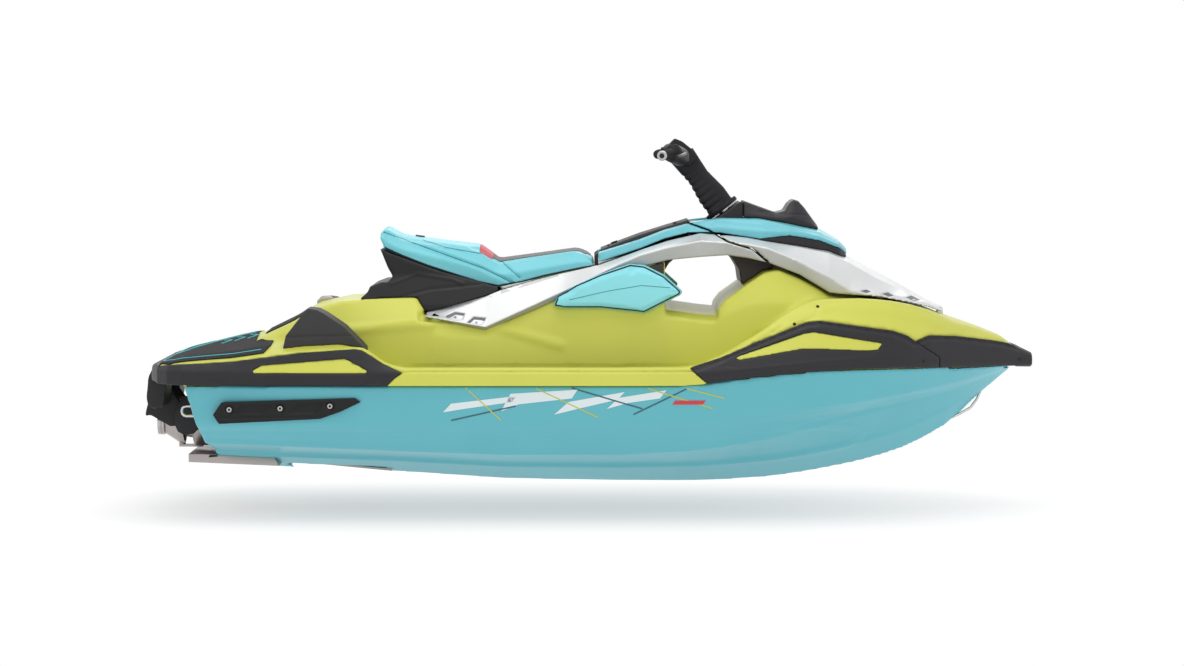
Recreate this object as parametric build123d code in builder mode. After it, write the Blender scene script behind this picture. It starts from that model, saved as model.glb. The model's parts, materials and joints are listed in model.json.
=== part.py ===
"""Sit-down personal watercraft: hull, deck, arch frame, hood, seat, steering and jet drive.

Millimetres. +X is forward, +Y is port, +Z is up. The origin is on the centreline, amidships, at the
waterline of the empty craft afloat. The mouldings are skinned through cross-sections whose corners are
given in the tables below; the port half is made and mirrored.
"""

import math
import os

from build123d import *

os.makedirs("parts", exist_ok=True)

# ---------------------------------------------------------------- driving dimensions
BUMPER_PROUD = 8  # how far the bumpers stand out of the deck moulding
BUMPER_DEPTH = 16  # how deep they are let into it
BUMPER_LIP = 26  # how far they turn in over the gunwale
INSERT_SINK = 3  # how far the coloured inserts lie below the bumper's face
PIECE_GAP = 0.5  # joint between two fixed covers
LID_GAP = 6  # clearance round a lid, the hood or the seat
REST_GAP = 0.3  # between the seat and what it rests on

BEYOND = 700  # a cut's reach to the side, past everything
ABOVE, BELOW = 900, -400  # a cut's reach up and down
ASTERN, AHEAD = -1700, 1700  # and along

TRAY_Z = 66  # underside of the deck moulding inside the hull
FLANGE = 32  # width of the hull's flange under the rail
SHEET = 20  # how far the deck's raised blocks start above its underside
TRANSOM_X, TRANSOM_Z = -1382, 139  # top edge of the transom
TRANSOM_SLOPE = 0.287  # its foot stands further forward by this share of the height

BAY_X, BAY_HALF, BAY_FLOOR = (-620, 0), 190, -110  # engine bay in the hull
HATCH_X, HATCH_HALF = (-560, -60), 150  # its opening under the seat
TUB_X, TUB_HALF, TUB_FLOOR = (700, 1030), 190, 205  # stowage under the hood
GLOVEBOX_X, GLOVEBOX_HALF, GLOVEBOX_FLOOR = (95, 235), 85, 470
DECK_CUTS, FOOTWELL_Y = (-619, 300, 440), 336  # where the deck's blocks meet
ENGINE_X, ENGINE_HALF, ENGINE_Z = (-540, -90), 135, (-95, 300)

ARCH_LOW_Y, ARCH_CREASE_Y, ARCH_TOP_Y = 290, 310, 231
ARCH_INNER_TOP_Y, ARCH_INNER_LOW_Y = 199, 256
SKIN = 12  # thickness of the hood's outer panel
SEAT_HALF, SEAT_TOP_HALF = 191, 160
NOTCH_X, NOTCH_HALF = (300, 562), 137  # the hood's notch round the steering column
HINGE_X, HINGE_Z, HINGE_PIN = 1244, 376, 4  # the hood's pivot
LID_X, LID_HALF, LID_THICK = (70, 300), 105, 14  # glovebox lid
LID_PIN_X, LID_PIN_Z, LID_PIN = 294, 668, 3  # its hinge pin, at mid thickness
LID_SWING = 4  # more room ahead of the lid, for its front edge to turn in

STEER_X, STEER_Z = 470, 728  # foot of the handlebar riser, on the steering axis
STEER_RAKE = 37  # degrees: the steering axis leans back from upright
COLLAR, COLLAR_RADIUS = (-5, 10), 64  # flange at the foot of the riser's cover, along the steering axis
COLUMN_RADIUS, BUSH_RADIUS, BUSH_FIT = 19, 30, 0.05
# distance along the axis, width, depth
RISER = [(COLLAR[1], 104, 98), (60, 98, 100), (139, 84, 78), (183, 84, 84), (236, 104, 92)]
BAR_COVER = [(276, 900), (271, 932), (284, 959), (302, 977), (328, 966), (360, 940), (384, 912), (352, 880)]
BAR_COVER_HALF = 66  # half width of the padded cover over the bar's clamp
BAR_RADIUS, GRIP_RADIUS, POD_RADIUS = 11, 17, 33
BAR_HALF, GRIP_LENGTH = 392, 130
BEND_Y = 120  # where the bar turns back
GRIP_X, GRIP_Z = 249, 918  # centre of the grip's outer end

JET_Z = -30  # height of the pump's centreline
PUMP_RADIUS, PUMP_BORE = 84, 77
PUMP_X = (-1402, -1120)
IMPELLER_X = (-1285, -1185)
BLADE_GAP = 5.5  # between the impeller's blades and the pump's bore
SHAFT_RADIUS, HUB_RADIUS = 14, 28
NOZZLE_PIVOT_X, NOZZLE_END_X = -1450, -1533
NOZZLE_MOUTH, NOZZLE_OUTLET = 78, 41  # outer radii
BUCKET_X, BUCKET_Z = -1420, -10  # pivot of the reverse bucket
BUCKET_OUTER, BUCKET_WALL, BUCKET_HALF = 148, 8, 106
BUCKET_ARC = (116, 176)  # degrees round the pivot from forward, raised
BUCKET_ROOM = 14  # room beside it
RIDE_PLATE_HALF, LINER_HALF, TUNNEL_HALF, EYE_ROD = 190, 190, 70, 5
PIN_RADIUS, PIN_FIT = 8, 0.05

# ---------------------------------------------------------------- section tables
# x, rail y, rail low z, rail high z, crest y, z, inner y, z, floor y, z, centre z
PAN = [
    (-1514, 330, 146, 166, 316, 184, 298, 186, 268, 188, 188),
    (-1494, 425, 140, 182, 405, 194, 380, 197, 350, 198, 197),
    (-1440, 500, 139, 184, 480, 204, 455, 208, 425, 212, 216),
    (-1388, 530, 139, 184, 510, 211, 480, 216, 440, 226, 235),
    (-1219, 548, 139, 184, 530, 221, 495, 231, 442, 246, 280),
    (-1110, 553, 139, 184, 536, 236, 500, 247, 444, 264, 303),
    (-981, 556, 139, 184, 539, 252, 502, 262, 446, 280, 306),
    (-850, 557, 139, 184, 541, 262, 502, 270, 448, 284, 300),
    (-771, 558, 139, 184, 541, 262, 500, 268, 452, 236, 210),
    (-700, 558, 139, 184, 541, 216, 500, 220, 462, 150, 120),
    (-620, 558, 139, 184, 541, 199, 496, 199, 470, 118, 105),
    (-300, 558, 139, 184, 541, 199, 496, 199, 470, 118, 105),
    (100, 558, 139, 184, 541, 199, 496, 199, 470, 118, 105),
    (310, 556, 139, 184, 540, 201, 494, 201, 466, 122, 110),
    (376, 553, 143, 186, 537, 207, 490, 210, 455, 142, 128),
    (444, 549, 152, 190, 532, 233, 484, 240, 440, 185, 160),
    (520, 544, 162, 197, 522, 262, 478, 285, 422, 240, 200),
    (596, 538, 171, 204, 510, 291, 470, 329, 405, 300, 240),
    (681, 530, 178, 208, 498, 325, 450, 386, 395, 378, 330),
    (783, 512, 186, 212, 484, 354, 404, 426, 340, 424, 400),
    (920, 480, 191, 216, 455, 337, 368, 428, 306, 424, 415),
    (1043, 436, 191, 216, 414, 316, 335, 418, 290, 414, 408),
    (1180, 345, 186, 210, 328, 296, 255, 383, 205, 383, 381),
    (1264, 276, 182, 205, 262, 284, 190, 343, 115, 350, 352),
    (1374, 180, 178, 200, 170, 274, 118, 306, 68, 312, 314),
    (1453, 115, 176, 198, 108, 261, 75, 277, 40, 281, 282),
    (1520, 58, 174, 196, 52, 224, 36, 231, 18, 233, 234),
    (1572, 20, 172, 190, 18, 202, 13, 206, 8, 208, 209),
]
# x, keel z, strake y, z, chine y, z, knuckle y, z below the rail
HULL = [
    (-1420, -172, 215, -120, 425, -64, 500, 0),
    (-1100, -190, 218, -134, 432, -76, 524, 0),
    (-650, -209, 220, -150, 433, -94, 530, -3),
    (-400, -229, 222, -166, 432, -104, 530, -3),
    (0, -239, 222, -172, 430, -108, 528, -2),
    (330, -241, 215, -168, 418, -95, 520, 8),
    (600, -229, 195, -150, 384, -58, 490, 40),
    (860, -191, 160, -110, 318, 0, 430, 66),
    (1080, -135, 120, -55, 235, 48, 338, 92),
    (1260, -46, 80, 18, 150, 86, 222, 120),
    (1390, 72, 42, 100, 78, 126, 118, 146),
    (1490, 158, 12, 160, 24, 163, 40, 166),
]
# x, underside z of the deck moulding
TRAY = [(-1600, TRAY_Z), (330, TRAY_Z), (450, 90), (600, 122), (860, 158), (1080, 172), (1264, 172),
        (1600, 172)]
# x, base y, crease y, z, arch low z, arch top z, centre z
PEDESTAL = [
    (-545, 335, 316, 300, 371, 382, 390),
    (-369, 332, 302, 285, 321, 434, 440),
    (-312, 330, 300, 300, 337, 451, 448),
    (-102, 325, 298, 360, 428, 507, 478),
    (37, 322, 300, 385, 487, 539, 512),
    (175, 320, 300, 372, 532, 589, 560),
    (262, 318, 300, 350, 554, 615, 585),
]
# x, base y, crease y, z, edge y, z, centre z
REAR_DECK = [
    (-1140, 300, 290, 284, 250, 290, 296),
    (-1030, 305, 295, 300, 250, 340, 350),
    (-951, 310, 300, 306, 248, 388, 402),
    (-862, 315, 305, 310, 246, 412, 418),
    (-780, 322, 312, 318, 244, 418, 424),
    (-603, 335, 318, 350, 242, 424, 428),
    (-560, 335, 318, 335, 282, 356, 404),
    (-545, 335, 318, 330, 284, 350, 400),
]
SADDLE = [
    (235, 318, 302, 366, 270, 384, 408),
    (297, 318, 304, 358, 268, 378, 403),
    (383, 318, 305, 346, 264, 366, 391),
    (464, 320, 307, 342, 260, 360, 382),
    (560, 326, 310, 346, 256, 366, 384),
    (660, 330, 312, 350, 250, 372, 386),
]
HOOD_DECK = [
    (445, 318, 312, 350, 298, 386, 388),
    (470, 322, 318, 370, 302, 418, 422),
    (540, 327, 322, 400, 300, 468, 476),
    (606, 331, 326, 410, 295, 512, 522),
    (655, 333, 328, 412, 286, 522, 535),
    (727, 334, 330, 405, 280, 492, 525),
    (797, 334, 330, 400, 280, 454, 505),
    (834, 334, 328, 395, 282, 428, 490),
    (920, 330, 318, 395, 280, 418, 460),
    (1043, 310, 300, 385, 262, 404, 420),
    (1150, 260, 245, 366, 205, 380, 383),
]
# x, low z, crease z, top z
ARCH = [
    (-572, 358, 363, 374),
    (-460, 333, 342, 402),
    (-360, 312, 324, 430),
    (-312, 332, 346, 449),
    (-102, 423, 444, 507),
    (37, 487, 512, 539),
    (175, 532, 575, 589),
    (272, 556, 602, 622),
    (385, 567, 624, 648),
    (480, 573, 618, 640),
    (620, 547, 598, 618),
]
# x, low y, z, crease y, z, top y, z, centre z
FRONT_COVER = [
    (330, 290, 562, 310, 612, 232, 636, 640),
    (480, 290, 573, 310, 618, 232, 640, 640),
    (620, 290, 547, 310, 598, 231, 618, 628),
    (730, 290, 505, 309, 551, 229, 600, 612),
    (834, 294, 442, 306, 499, 224, 578, 598),
    (905, 296, 436, 298, 452, 214, 545, 565),
    (1000, 290, 430, 284, 440, 182, 492, 516),
    (1104, 272, 410, 256, 426, 145, 443, 459),
    (1180, 228, 391, 210, 404, 105, 410, 415),
    (1240, 140, 368, 120, 381, 50, 384, 385),
]
COWL = [
    (340, 224, 651, 226, 662, 196, 683, 690),
    (456, 226, 650, 228, 664, 196, 697, 704),
    (595, 222, 628, 224, 652, 186, 693, 706),
    (700, 206, 640, 208, 655, 172, 672, 692),
    (805, 182, 622, 184, 634, 145, 650, 664),
    (880, 130, 592, 132, 602, 100, 612, 620),
    (907, 80, 566, 82, 576, 60, 588, 592),
]
# x, low y, z, top y, z, centre z
TANK = [
    (32, 204, 546, 200, 578, 582),
    (176, 213, 594, 206, 622, 630),
    (345, 222, 650, 204, 678, 686),
    (440, 225, 652, 206, 684, 694),
]
# x, low z, side top z, crown z
SEAT = [
    (-738, 625, 648, 655),
    (-721, 592, 658, 667),
    (-655, 563, 622, 632),
    (-566, 528, 608, 620),
    (-449, 490, 592, 606),
    (-388, 471, 584, 599),
    (-350, 462, 560, 571),
    (-319, 457, 538, 547),
    (-155, 493, 561, 569),
    (-41, 517, 577, 585),
    (-10, 524, 574, 581),
    (20, 529, 556, 561),
]
VISOR_BASE, VISOR_EDGE = 655, 4  # bottom of its block, and how far its rim drops
BASE_X, BASE_INSET = 570, 3  # the black panel under the cowl
# x, side y, its z, top y, z
VISOR = [
    (541, 134, 712, 116, 759),
    (600, 134, 706, 112, 737),
    (658, 132, 700, 106, 716),
    (687, 130, 700, 100, 723),
    (701, 128, 702, 92, 748),
    (718, 124, 700, 82, 762),
    (736, 120, 692, 76, 758),
    (758, 112, 684, 74, 734),
    (806, 92, 664, 70, 668),
]
# side-view outlines, (x, z)
FRONT_BUMPER = [(419, 130), (340, 199), (446, 233), (582, 289), (736, 350), (787, 356), (1043, 318),
                (1096, 299), (1124, 279), (1211, 221), (1211, 130)]
NOSE_BUMPER = [(1211, 130), (1211, 221), (1124, 279), (1176, 297), (1279, 290), (1430, 266), (1480, 256),
               (1600, 222), (1600, 130)]
REAR_BUMPER = [(-633, 183), (-657, 168), (-705, 120), (-1600, 120), (-1600, 190), (-1500, 200), (-1388, 209),
               (-1219, 219), (-1110, 233), (-981, 250), (-795, 263), (-768, 256), (-700, 213)]
RUB_RAIL = [(-705, 120), (-657, 168), (-633, 183), (-625, 186), (354, 186), (419, 130)]
FRONT_INSERT = [(512, 226), (492, 233), (733, 314), (767, 318), (1005, 277), (988, 256), (954, 253),
                (818, 260), (726, 263)]
REAR_INSERT = [(-1157, 182), (-1114, 208), (-830, 231), (-751, 190), (-757, 182)]
CHOCK = [(-1051, 245), (-1037, 305), (-964, 398), (-930, 394), (-903, 380), (-838, 336), (-766, 262),
         (-766, 245)]
STERN_PAD = [(-1500, 176), (-1519, 176), (-1531, 150), (-1538, 80), (-1534, 54), (-1514, 40), (-1478, 48),
             (-1466, 150)]
SPONSON = [(-1279, 40), (-1251, 81), (-1238, 84), (-796, 98), (-776, 84), (-847, 50), (-915, 26), (-1259, 9)]
RIDE_PLATE = [(-1406, -128), (-1406, -156), (-1089, -170), (-1107, -135), (-1360, -128)]
KNEE_PAD = [(-126, 398), (-85, 389), (37, 389), (193, 372), (318, 437), (322, 450), (262, 505), (192, 540),
            (140, 546), (37, 512), (-50, 474), (-112, 428)]
TAIL = [(-730, 590), (-716, 586), (-700, 578), (-522, 515), (-320, 460), (-320, 400), (-560, 378),
        (-805, 380), (-805, 414), (-773, 443), (-766, 461), (-730, 475), (-702, 478), (-687, 496),
        (-705, 528)]
TAIL_SECTION = [(0, 300), (255, 300), (250, 400), (205, 500), (196, 700), (0, 700)]  # (y, z)
SURROUND = [(352, 640), (352, 684), (384, 684), (404, 663), (456, 702), (527, 755), (535, 756), (535, 640)]
LINER = [(110, 540), (200, 500), (250, 492), (277, 540), (300, 560), (384, 571), (480, 571), (497, 562),
         (524, 518), (533, 455), (640, 455), (640, 556), (560, 580), (474, 600), (440, 640), (345, 640),
         (176, 592)]
BRACKET = [(-1382, -49), (-1396, -63), (-1430, -67), (-1451, -55), (-1462, -31), (-1461, 17), (-1436, 65),
           (-1409, 75), (-1396, 17), (-1345, 10), (-1345, -45)]
BRACKET_FOOT = [(-1395, -45), (-1395, -5), (-1345, -5), (-1345, -45)]
BUCKET_CHEEK = [(-1545, 0), (-1521, -14), (-1480, -38)]  # its free edge, from the scoop to the pivot
TOW_HOOK = [(-967, 380), (-967, 401), (-951, 418), (-922, 421), (-905, 400)]
BOW_EYE = [(1392, 0, 82), (1379, 0, 50), (1357, 0, 20), (1314, 0, -4), (1275, 0, -20)]  # (x, y, z)
STERN_EYE = [(-1345, 400, 58), (-1400, 400, 58), (-1400, 400, 24), (-1335, 400, 24)]
JET_TUNNEL = [(PUMP_X[1] - 5, JET_Z + 70), (PUMP_X[1] - 5, JET_Z - 70), (-960, -300), (-680, -300),
              (-720, -190), (-900, -30), (-1000, JET_Z + 70)]
PAD_TOP = [(40, 588), (179, 640), (348, 692)]  # top of the pad behind the handlebar
SEAM = [(336, 682), (414, 656), (478, 617), (564, 592), (617, 546)]  # hood to arch
STATIONS = [
    -1514, -1506, -1480, -1440, -1388, -1300, -1219, -1110, -981, -850, -800, -771, -735, -700, -660,
    -620, -300, 100, 310, 376, 444, 520, 596, 640, 681, 730, 783, 850, 920, 980, 1043, 1110, 1180, 1264,
    1320, 1374, 1453, 1490, 1520, 1572,
]
CORE_X = (-1476, 1490)  # between the bumpers' crosswise parts


# ---------------------------------------------------------------- shared shapes
def slope_at(rows, index, column):
    """Slope of a table's column at one row: level at a turning point, so nothing overshoots."""
    slopes = []
    for first, last in ((index - 1, index), (index, index + 1)):
        if 0 <= first and last < len(rows):
            slopes.append((rows[last][column] - rows[first][column]) / (rows[last][0] - rows[first][0]))
    before, after = slopes[0], slopes[-1]
    return 0 if before * after <= 0 else 2 * before * after / (before + after)


def table_at(rows, x):
    """A table's columns at x, each on a smooth curve through its rows."""
    index = max(0, *(number for number, row in enumerate(rows[:-1]) if row[0] <= x), 0)
    here, there = rows[index], rows[index + 1]
    span = there[0] - here[0]
    share = (x - here[0]) / span
    values = []
    for column in range(1, len(here)):
        rise = there[column] - here[column]
        start = slope_at(rows, index, column) * span
        end = slope_at(rows, index + 1, column) * span
        bend = 3 * rise - 2 * start - end
        twist = start + end - 2 * rise
        values.append(here[column] + start * share + bend * share**2 + twist * share**3)
    return values


def stations_of(rows, step):
    """Stations from a table's first row to its last, no further apart than step, with each row's own."""
    places = []
    for here, there in zip(rows, rows[1:]):
        count = max(1, round((there[0] - here[0]) / step))
        places += [here[0] + (there[0] - here[0]) * number / count for number in range(count)]
    return places + [rows[-1][0]]


def side_plane(y):
    """A plane seen from starboard: sketch X is forward, sketch Y is up, its normal is starboard."""
    return Plane(origin=(0, y, 0), x_dir=(1, 0, 0), z_dir=(0, -1, 0))


def skin(outlines, mode=Mode.ADD):
    """In the open part: a closed body skinned through polygons, given as (x, [(y, z), ...])."""
    wires = []
    for x, outline in outlines:
        corners = [Vector(x, y, z) for y, z in outline]
        wires.append([Edge.make_line(here, there)
                      for here, there in zip(corners, corners[1:] + corners[:1])])
    faces = [Face(Wire(wires[0])), Face(Wire(wires[-1]))]
    for aft, fore in zip(wires, wires[1:]):
        faces += [Face.make_surface_from_curves(one, other) for one, other in zip(aft, fore)]
    add(Solid(Shell(faces)), mode=mode)


def side_cut(outline, y_from, y_to, mode=Mode.ADD):
    """In the open part: a side-view outline of (x, z) points, extruded from one y to another."""
    with BuildSketch(side_plane(y_to)) as profile:
        with BuildLine():
            Polyline(*outline, close=True)
        make_face()
    extrude(profile.sketch, amount=y_to - y_from, mode=mode)


def block(x_range, y_range, z_range, mode=Mode.ADD):
    """In the open part: a box between two limits along each axis."""
    corners = [(x_range[0], z_range[0]), (x_range[1], z_range[0]), (x_range[1], z_range[1]),
               (x_range[0], z_range[1])]
    side_cut(corners, *y_range, mode=mode)


def rod(start, end, radius, mode=Mode.ADD):
    """In the open part: a round bar from one point to another."""
    start, end = Vector(*start), Vector(*end)
    with BuildSketch(Plane(origin=start, z_dir=end - start)) as section:
        Circle(radius)
    extrude(section.sketch, amount=(end - start).length, mode=mode)


def solid_of(shape, *arguments):
    """A free-standing part made by one of the functions above."""
    with BuildPart() as piece:
        shape(*arguments)
    return piece.part


def both_sides(part):
    """A port piece and its starboard mirror image as one part."""
    with BuildPart() as pair:
        add(part)
        mirror(about=Plane.XZ)
    return pair.part


# ---------------------------------------------------------------- deck moulding
def tray_z(x):
    """Underside of the deck moulding: level inside the hull, rising in the bow to stay inside its flare."""
    return table_at(TRAY, x)[0]


def pan_outline(x, proud):
    """Port half of the deck moulding's section at x, its outside moved out by proud."""
    rail_y, low, high, crest_y, crest_z, inner_y, inner_z, floor_y, floor_z, centre = table_at(PAN, x)
    grow = max(proud, -rail_y * 0.4)
    flange = max(rail_y - FLANGE, rail_y * 0.3)
    bottom = min(tray_z(x), low - 6)
    return [
        (0, bottom), (flange, bottom), (flange, low), (rail_y + grow, low), (rail_y + 4 + grow, high),
        (crest_y + grow, crest_z + proud), (inner_y, inner_z + proud), (floor_y, floor_z + proud),
        (0, centre + proud),
    ]


def pan(proud):
    skin([(x, pan_outline(x, proud)) for x in STATIONS])


def bumper_core():
    """What lies inside the bumpers in plan."""
    edge = [(x, table_at(PAN, x)[3] - BUMPER_LIP) for x in STATIONS if CORE_X[0] < x < CORE_X[1]]
    with BuildSketch(Plane.XY.offset(-100)) as plan:
        with BuildLine():
            Polyline((CORE_X[0], 0), (CORE_X[0], edge[0][1]), *edge, (CORE_X[1], edge[-1][1]),
                     (CORE_X[1], 0), close=True)
        make_face()
    extrude(plan.sketch, amount=ABOVE)


def below_stern():
    """Room under the stern overhang, with the reverse bucket's room above it."""
    foot_x = TRANSOM_X + (TRANSOM_Z - BELOW) * TRANSOM_SLOPE
    side_cut([(ASTERN, TRANSOM_Z), (TRANSOM_X, TRANSOM_Z), (foot_x, BELOW), (ASTERN, BELOW)], 0, BEYOND)
    block((ASTERN, TRANSOM_X - 20), (0, BUCKET_HALF + BUCKET_ROOM), (BELOW, BUCKET_OUTER + 2))


def let_in(outline):
    """A bumper's whole room: outside the moulding's let-in face, inside its side-view outline."""
    with BuildPart() as room:
        side_cut(outline, 0, BEYOND)
        add(let_in_face, mode=Mode.SUBTRACT)
        add(core, mode=Mode.SUBTRACT)
        add(stern_room, mode=Mode.SUBTRACT)
    return room.part


def outer_part(room, body, inset=None, only_inset=False):
    """The bumper in its room, under its outer face, with or without the area of its coloured insert."""
    with BuildPart() as bumper:
        add(room)
        add(body, mode=Mode.INTERSECT)
        if inset:
            side_cut(inset, 0, BEYOND, mode=Mode.INTERSECT if only_inset else Mode.SUBTRACT)
    return bumper.part


def centre_block(rows, step=90):
    """A moulded block rising from the deck: base, crease, edge and crown."""
    outlines = []
    for x in stations_of(rows, step):
        base, crease_y, crease_z, edge_y, edge_z, centre = table_at(rows, x)
        foot = tray_z(x) + SHEET
        outlines.append((x, [(0, foot), (base, foot), (crease_y, crease_z), (edge_y, edge_z), (0, centre)]))
    skin(outlines)


def pedestal_block():
    """The seat pedestal, stepped in along its top edge to carry the arch frame."""
    outlines = []
    for x in stations_of(PEDESTAL, 90):
        base, crease_y, crease_z, low, top, centre = table_at(PEDESTAL, x)
        foot = tray_z(x) + SHEET
        outlines.append((x, [(0, foot), (base, foot), (crease_y, crease_z), (ARCH_LOW_Y - 4, low),
                             (ARCH_INNER_LOW_Y, low), (ARCH_INNER_TOP_Y - 1, top - 16), (0, centre)]))
    skin(outlines)


def make_deck():
    with BuildPart() as deck:
        pan(0)
        add(stern_room, mode=Mode.SUBTRACT)
        add(bumper_rooms, mode=Mode.SUBTRACT)
        pedestal_block()
        for rows in (REAR_DECK, SADDLE, HOOD_DECK):
            centre_block(rows)
        block(TUB_X, (0, TUB_HALF), (TUB_FLOOR, ABOVE), mode=Mode.SUBTRACT)
        block(HATCH_X, (0, HATCH_HALF), (0, ABOVE), mode=Mode.SUBTRACT)
        block(GLOVEBOX_X, (0, GLOVEBOX_HALF), (GLOVEBOX_FLOOR, ABOVE), mode=Mode.SUBTRACT)
    return deck.part


def deck_blocks():
    """The deck moulding in blocks that meet face to face, so that each is a simple shape for collision."""
    whole = (BELOW, ABOVE)
    stern, pedestal, footwell, neck, bow = (
        ((ASTERN, DECK_CUTS[0]), (0, BEYOND)),
        ((DECK_CUTS[0], DECK_CUTS[1]), (0, FOOTWELL_Y)),
        ((DECK_CUTS[0], DECK_CUTS[1]), (FOOTWELL_Y, BEYOND)),
        ((DECK_CUTS[1], DECK_CUTS[2]), (0, BEYOND)),
        ((DECK_CUTS[2], AHEAD), (0, BEYOND)),
    )
    solids = []
    for along_x, across_y in (stern, pedestal, footwell, neck, bow):
        with BuildPart() as piece:
            add(deck_half)
            block(along_x, across_y, whole, mode=Mode.INTERSECT)
            mirror(about=Plane.XZ)
        solids += piece.part.solids()
    return Compound(solids)


def hull_outline(x):
    """Port half of the hull's section: keel, strake and chine with their steps, knuckle, flange."""
    keel, strake_y, strake_z, chine_y, chine_z, knuckle_y, knuckle_z = table_at(HULL, x)
    rail_y, low = table_at(PAN, x)[:2]
    step = min(14, strake_y * 0.08)
    return [
        (0, keel), (strake_y, strake_z), (strake_y + step * 0.6, strake_z + step), (chine_y, chine_z),
        (chine_y + step * 0.5, chine_z + step), (knuckle_y, knuckle_z),
        (knuckle_y + step * 0.6, knuckle_z + step), (rail_y - 4, low), (0, low),
    ]


def make_hull():
    head = TRANSOM_Z + 60
    places = [HULL[0][0]] + [x for x in STATIONS if HULL[0][0] < x <= HULL[-1][0]]
    with BuildPart() as hull:
        skin([(x, hull_outline(x)) for x in places])
        side_cut(
            [(TRANSOM_X - (head - TRANSOM_Z) * TRANSOM_SLOPE, head),
             (TRANSOM_X + (TRANSOM_Z - BELOW) * TRANSOM_SLOPE, BELOW), (ASTERN, BELOW), (ASTERN, head)],
            0, BEYOND, mode=Mode.SUBTRACT)
        add(tray, mode=Mode.SUBTRACT)
        block((-1500, PUMP_X[1]), (0, 150), (BELOW, TRAY_Z - 6), mode=Mode.SUBTRACT)
        block(BAY_X, (0, BAY_HALF), (BAY_FLOOR, TRAY_Z + 10), mode=Mode.SUBTRACT)
        side_cut(JET_TUNNEL, 0, TUNNEL_HALF, mode=Mode.SUBTRACT)
        mirror(about=Plane.XZ)
        rod((-1100, 0, JET_Z), (BAY_X[0] + 10, 0, JET_Z), SHAFT_RADIUS + 6, mode=Mode.SUBTRACT)
    return hull.part


def tray_room():
    """The deck moulding's underside as the hull sees it."""
    outlines = []
    for x in STATIONS:
        rail_y, low = table_at(PAN, x)[:2]
        flange = max(rail_y - FLANGE, rail_y * 0.3)
        bottom = min(tray_z(x), low - 6)
        outlines.append((x, [(0, bottom), (flange, bottom), (flange, low + 50), (0, low + 50)]))
    skin(outlines)


stern_room = solid_of(below_stern)
let_in_face = solid_of(pan, -BUMPER_DEPTH)
with BuildPart() as clipped:
    add(let_in_face)
    block((ASTERN, CORE_X[0] - 20), (0, BEYOND), (BELOW, ABOVE), mode=Mode.SUBTRACT)
    block((CORE_X[1] + 20, AHEAD), (0, BEYOND), (BELOW, ABOVE), mode=Mode.SUBTRACT)
let_in_face = clipped.part
core = solid_of(bumper_core)
tray = solid_of(tray_room)
proud_face = solid_of(pan, BUMPER_PROUD)
insert_face = solid_of(pan, BUMPER_PROUD - INSERT_SINK)
with BuildPart() as stern_end:
    add(proud_face)
    add(stern_room, mode=Mode.SUBTRACT)
stern_edge = stern_end.part
front_room, nose_room = let_in(FRONT_BUMPER), let_in(NOSE_BUMPER)
rear_room, rail_room = let_in(REAR_BUMPER), let_in(RUB_RAIL)
bumper_rooms = [front_room, nose_room, rear_room, rail_room]
deck_half = make_deck()
hull = make_hull()


# ---------------------------------------------------------------- arch frame, hood and covers
def seam_side(fore):
    """Side-view area ahead of or behind the joint between the arch and the hood."""
    line = [(x + LID_GAP * 0.7, z + LID_GAP * 0.8) for x, z in SEAM] if fore else SEAM
    if fore:
        return line + [(line[-1][0], 300), (AHEAD, 300), (AHEAD, ABOVE), (line[0][0], ABOVE)]
    return line + [(line[-1][0], 250), (-800, 250), (-800, ABOVE), (line[0][0], ABOVE)]


def section_band(rows, grow=0.0):
    """Port half of a solid cap given by its low edge, corners and crown."""
    outlines = []
    for x in stations_of(rows, 90):
        values = table_at(rows, x)
        corners = list(zip(values[0:-1:2], values[1:-1:2]))
        corners = [(max(y + grow, 5), z + grow) for y, z in corners]
        low = corners[0][1] - grow - (60 if grow else 0)
        if grow:
            corners = [(corners[0][0], low)] + corners
        outlines.append((x, [(0, low)] + corners + [(0, values[-1] + grow)]))
    skin(outlines)


def make_arch():
    outlines = []
    for x in stations_of(ARCH, 90):
        low, crease, top = table_at(ARCH, x)
        outlines.append((x, [(ARCH_LOW_Y, low), (ARCH_CREASE_Y, crease), (ARCH_TOP_Y, top),
                             (ARCH_INNER_TOP_Y, top - 14), (ARCH_INNER_LOW_Y + 1, low)]))
    with BuildPart() as arch:
        skin(outlines)
        side_cut(seam_side(fore=False), 0, BEYOND, mode=Mode.INTERSECT)
        add(deck_half, mode=Mode.SUBTRACT)
    return arch.part


def make_hood_cover():
    """The hood's outer panel, with a notch round the steering column and its bed for the cowl."""
    with BuildPart() as cover:
        add(solid_of(section_band, FRONT_COVER))
        add(solid_of(section_band, FRONT_COVER, -SKIN), mode=Mode.SUBTRACT)
        side_cut(seam_side(fore=True), 0, BEYOND, mode=Mode.INTERSECT)
        block(NOTCH_X, (0, NOTCH_HALF), (500, ABOVE), mode=Mode.SUBTRACT)
        add(cowl_form, mode=Mode.SUBTRACT)
        block((HINGE_X - 18, 1300), (20, 34), (300, HINGE_Z + 20), mode=Mode.SUBTRACT)
        block((HINGE_X - 26, HINGE_X), (0, 20), (HINGE_Z - 3, HINGE_Z + 8))
        rod((HINGE_X, 0, HINGE_Z), (HINGE_X, 20, HINGE_Z), 8)
        rod((HINGE_X, 0, HINGE_Z), (HINGE_X, 40, HINGE_Z), HINGE_PIN + PIN_FIT, mode=Mode.SUBTRACT)
        mirror(about=Plane.XZ)
    return cover.part


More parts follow.
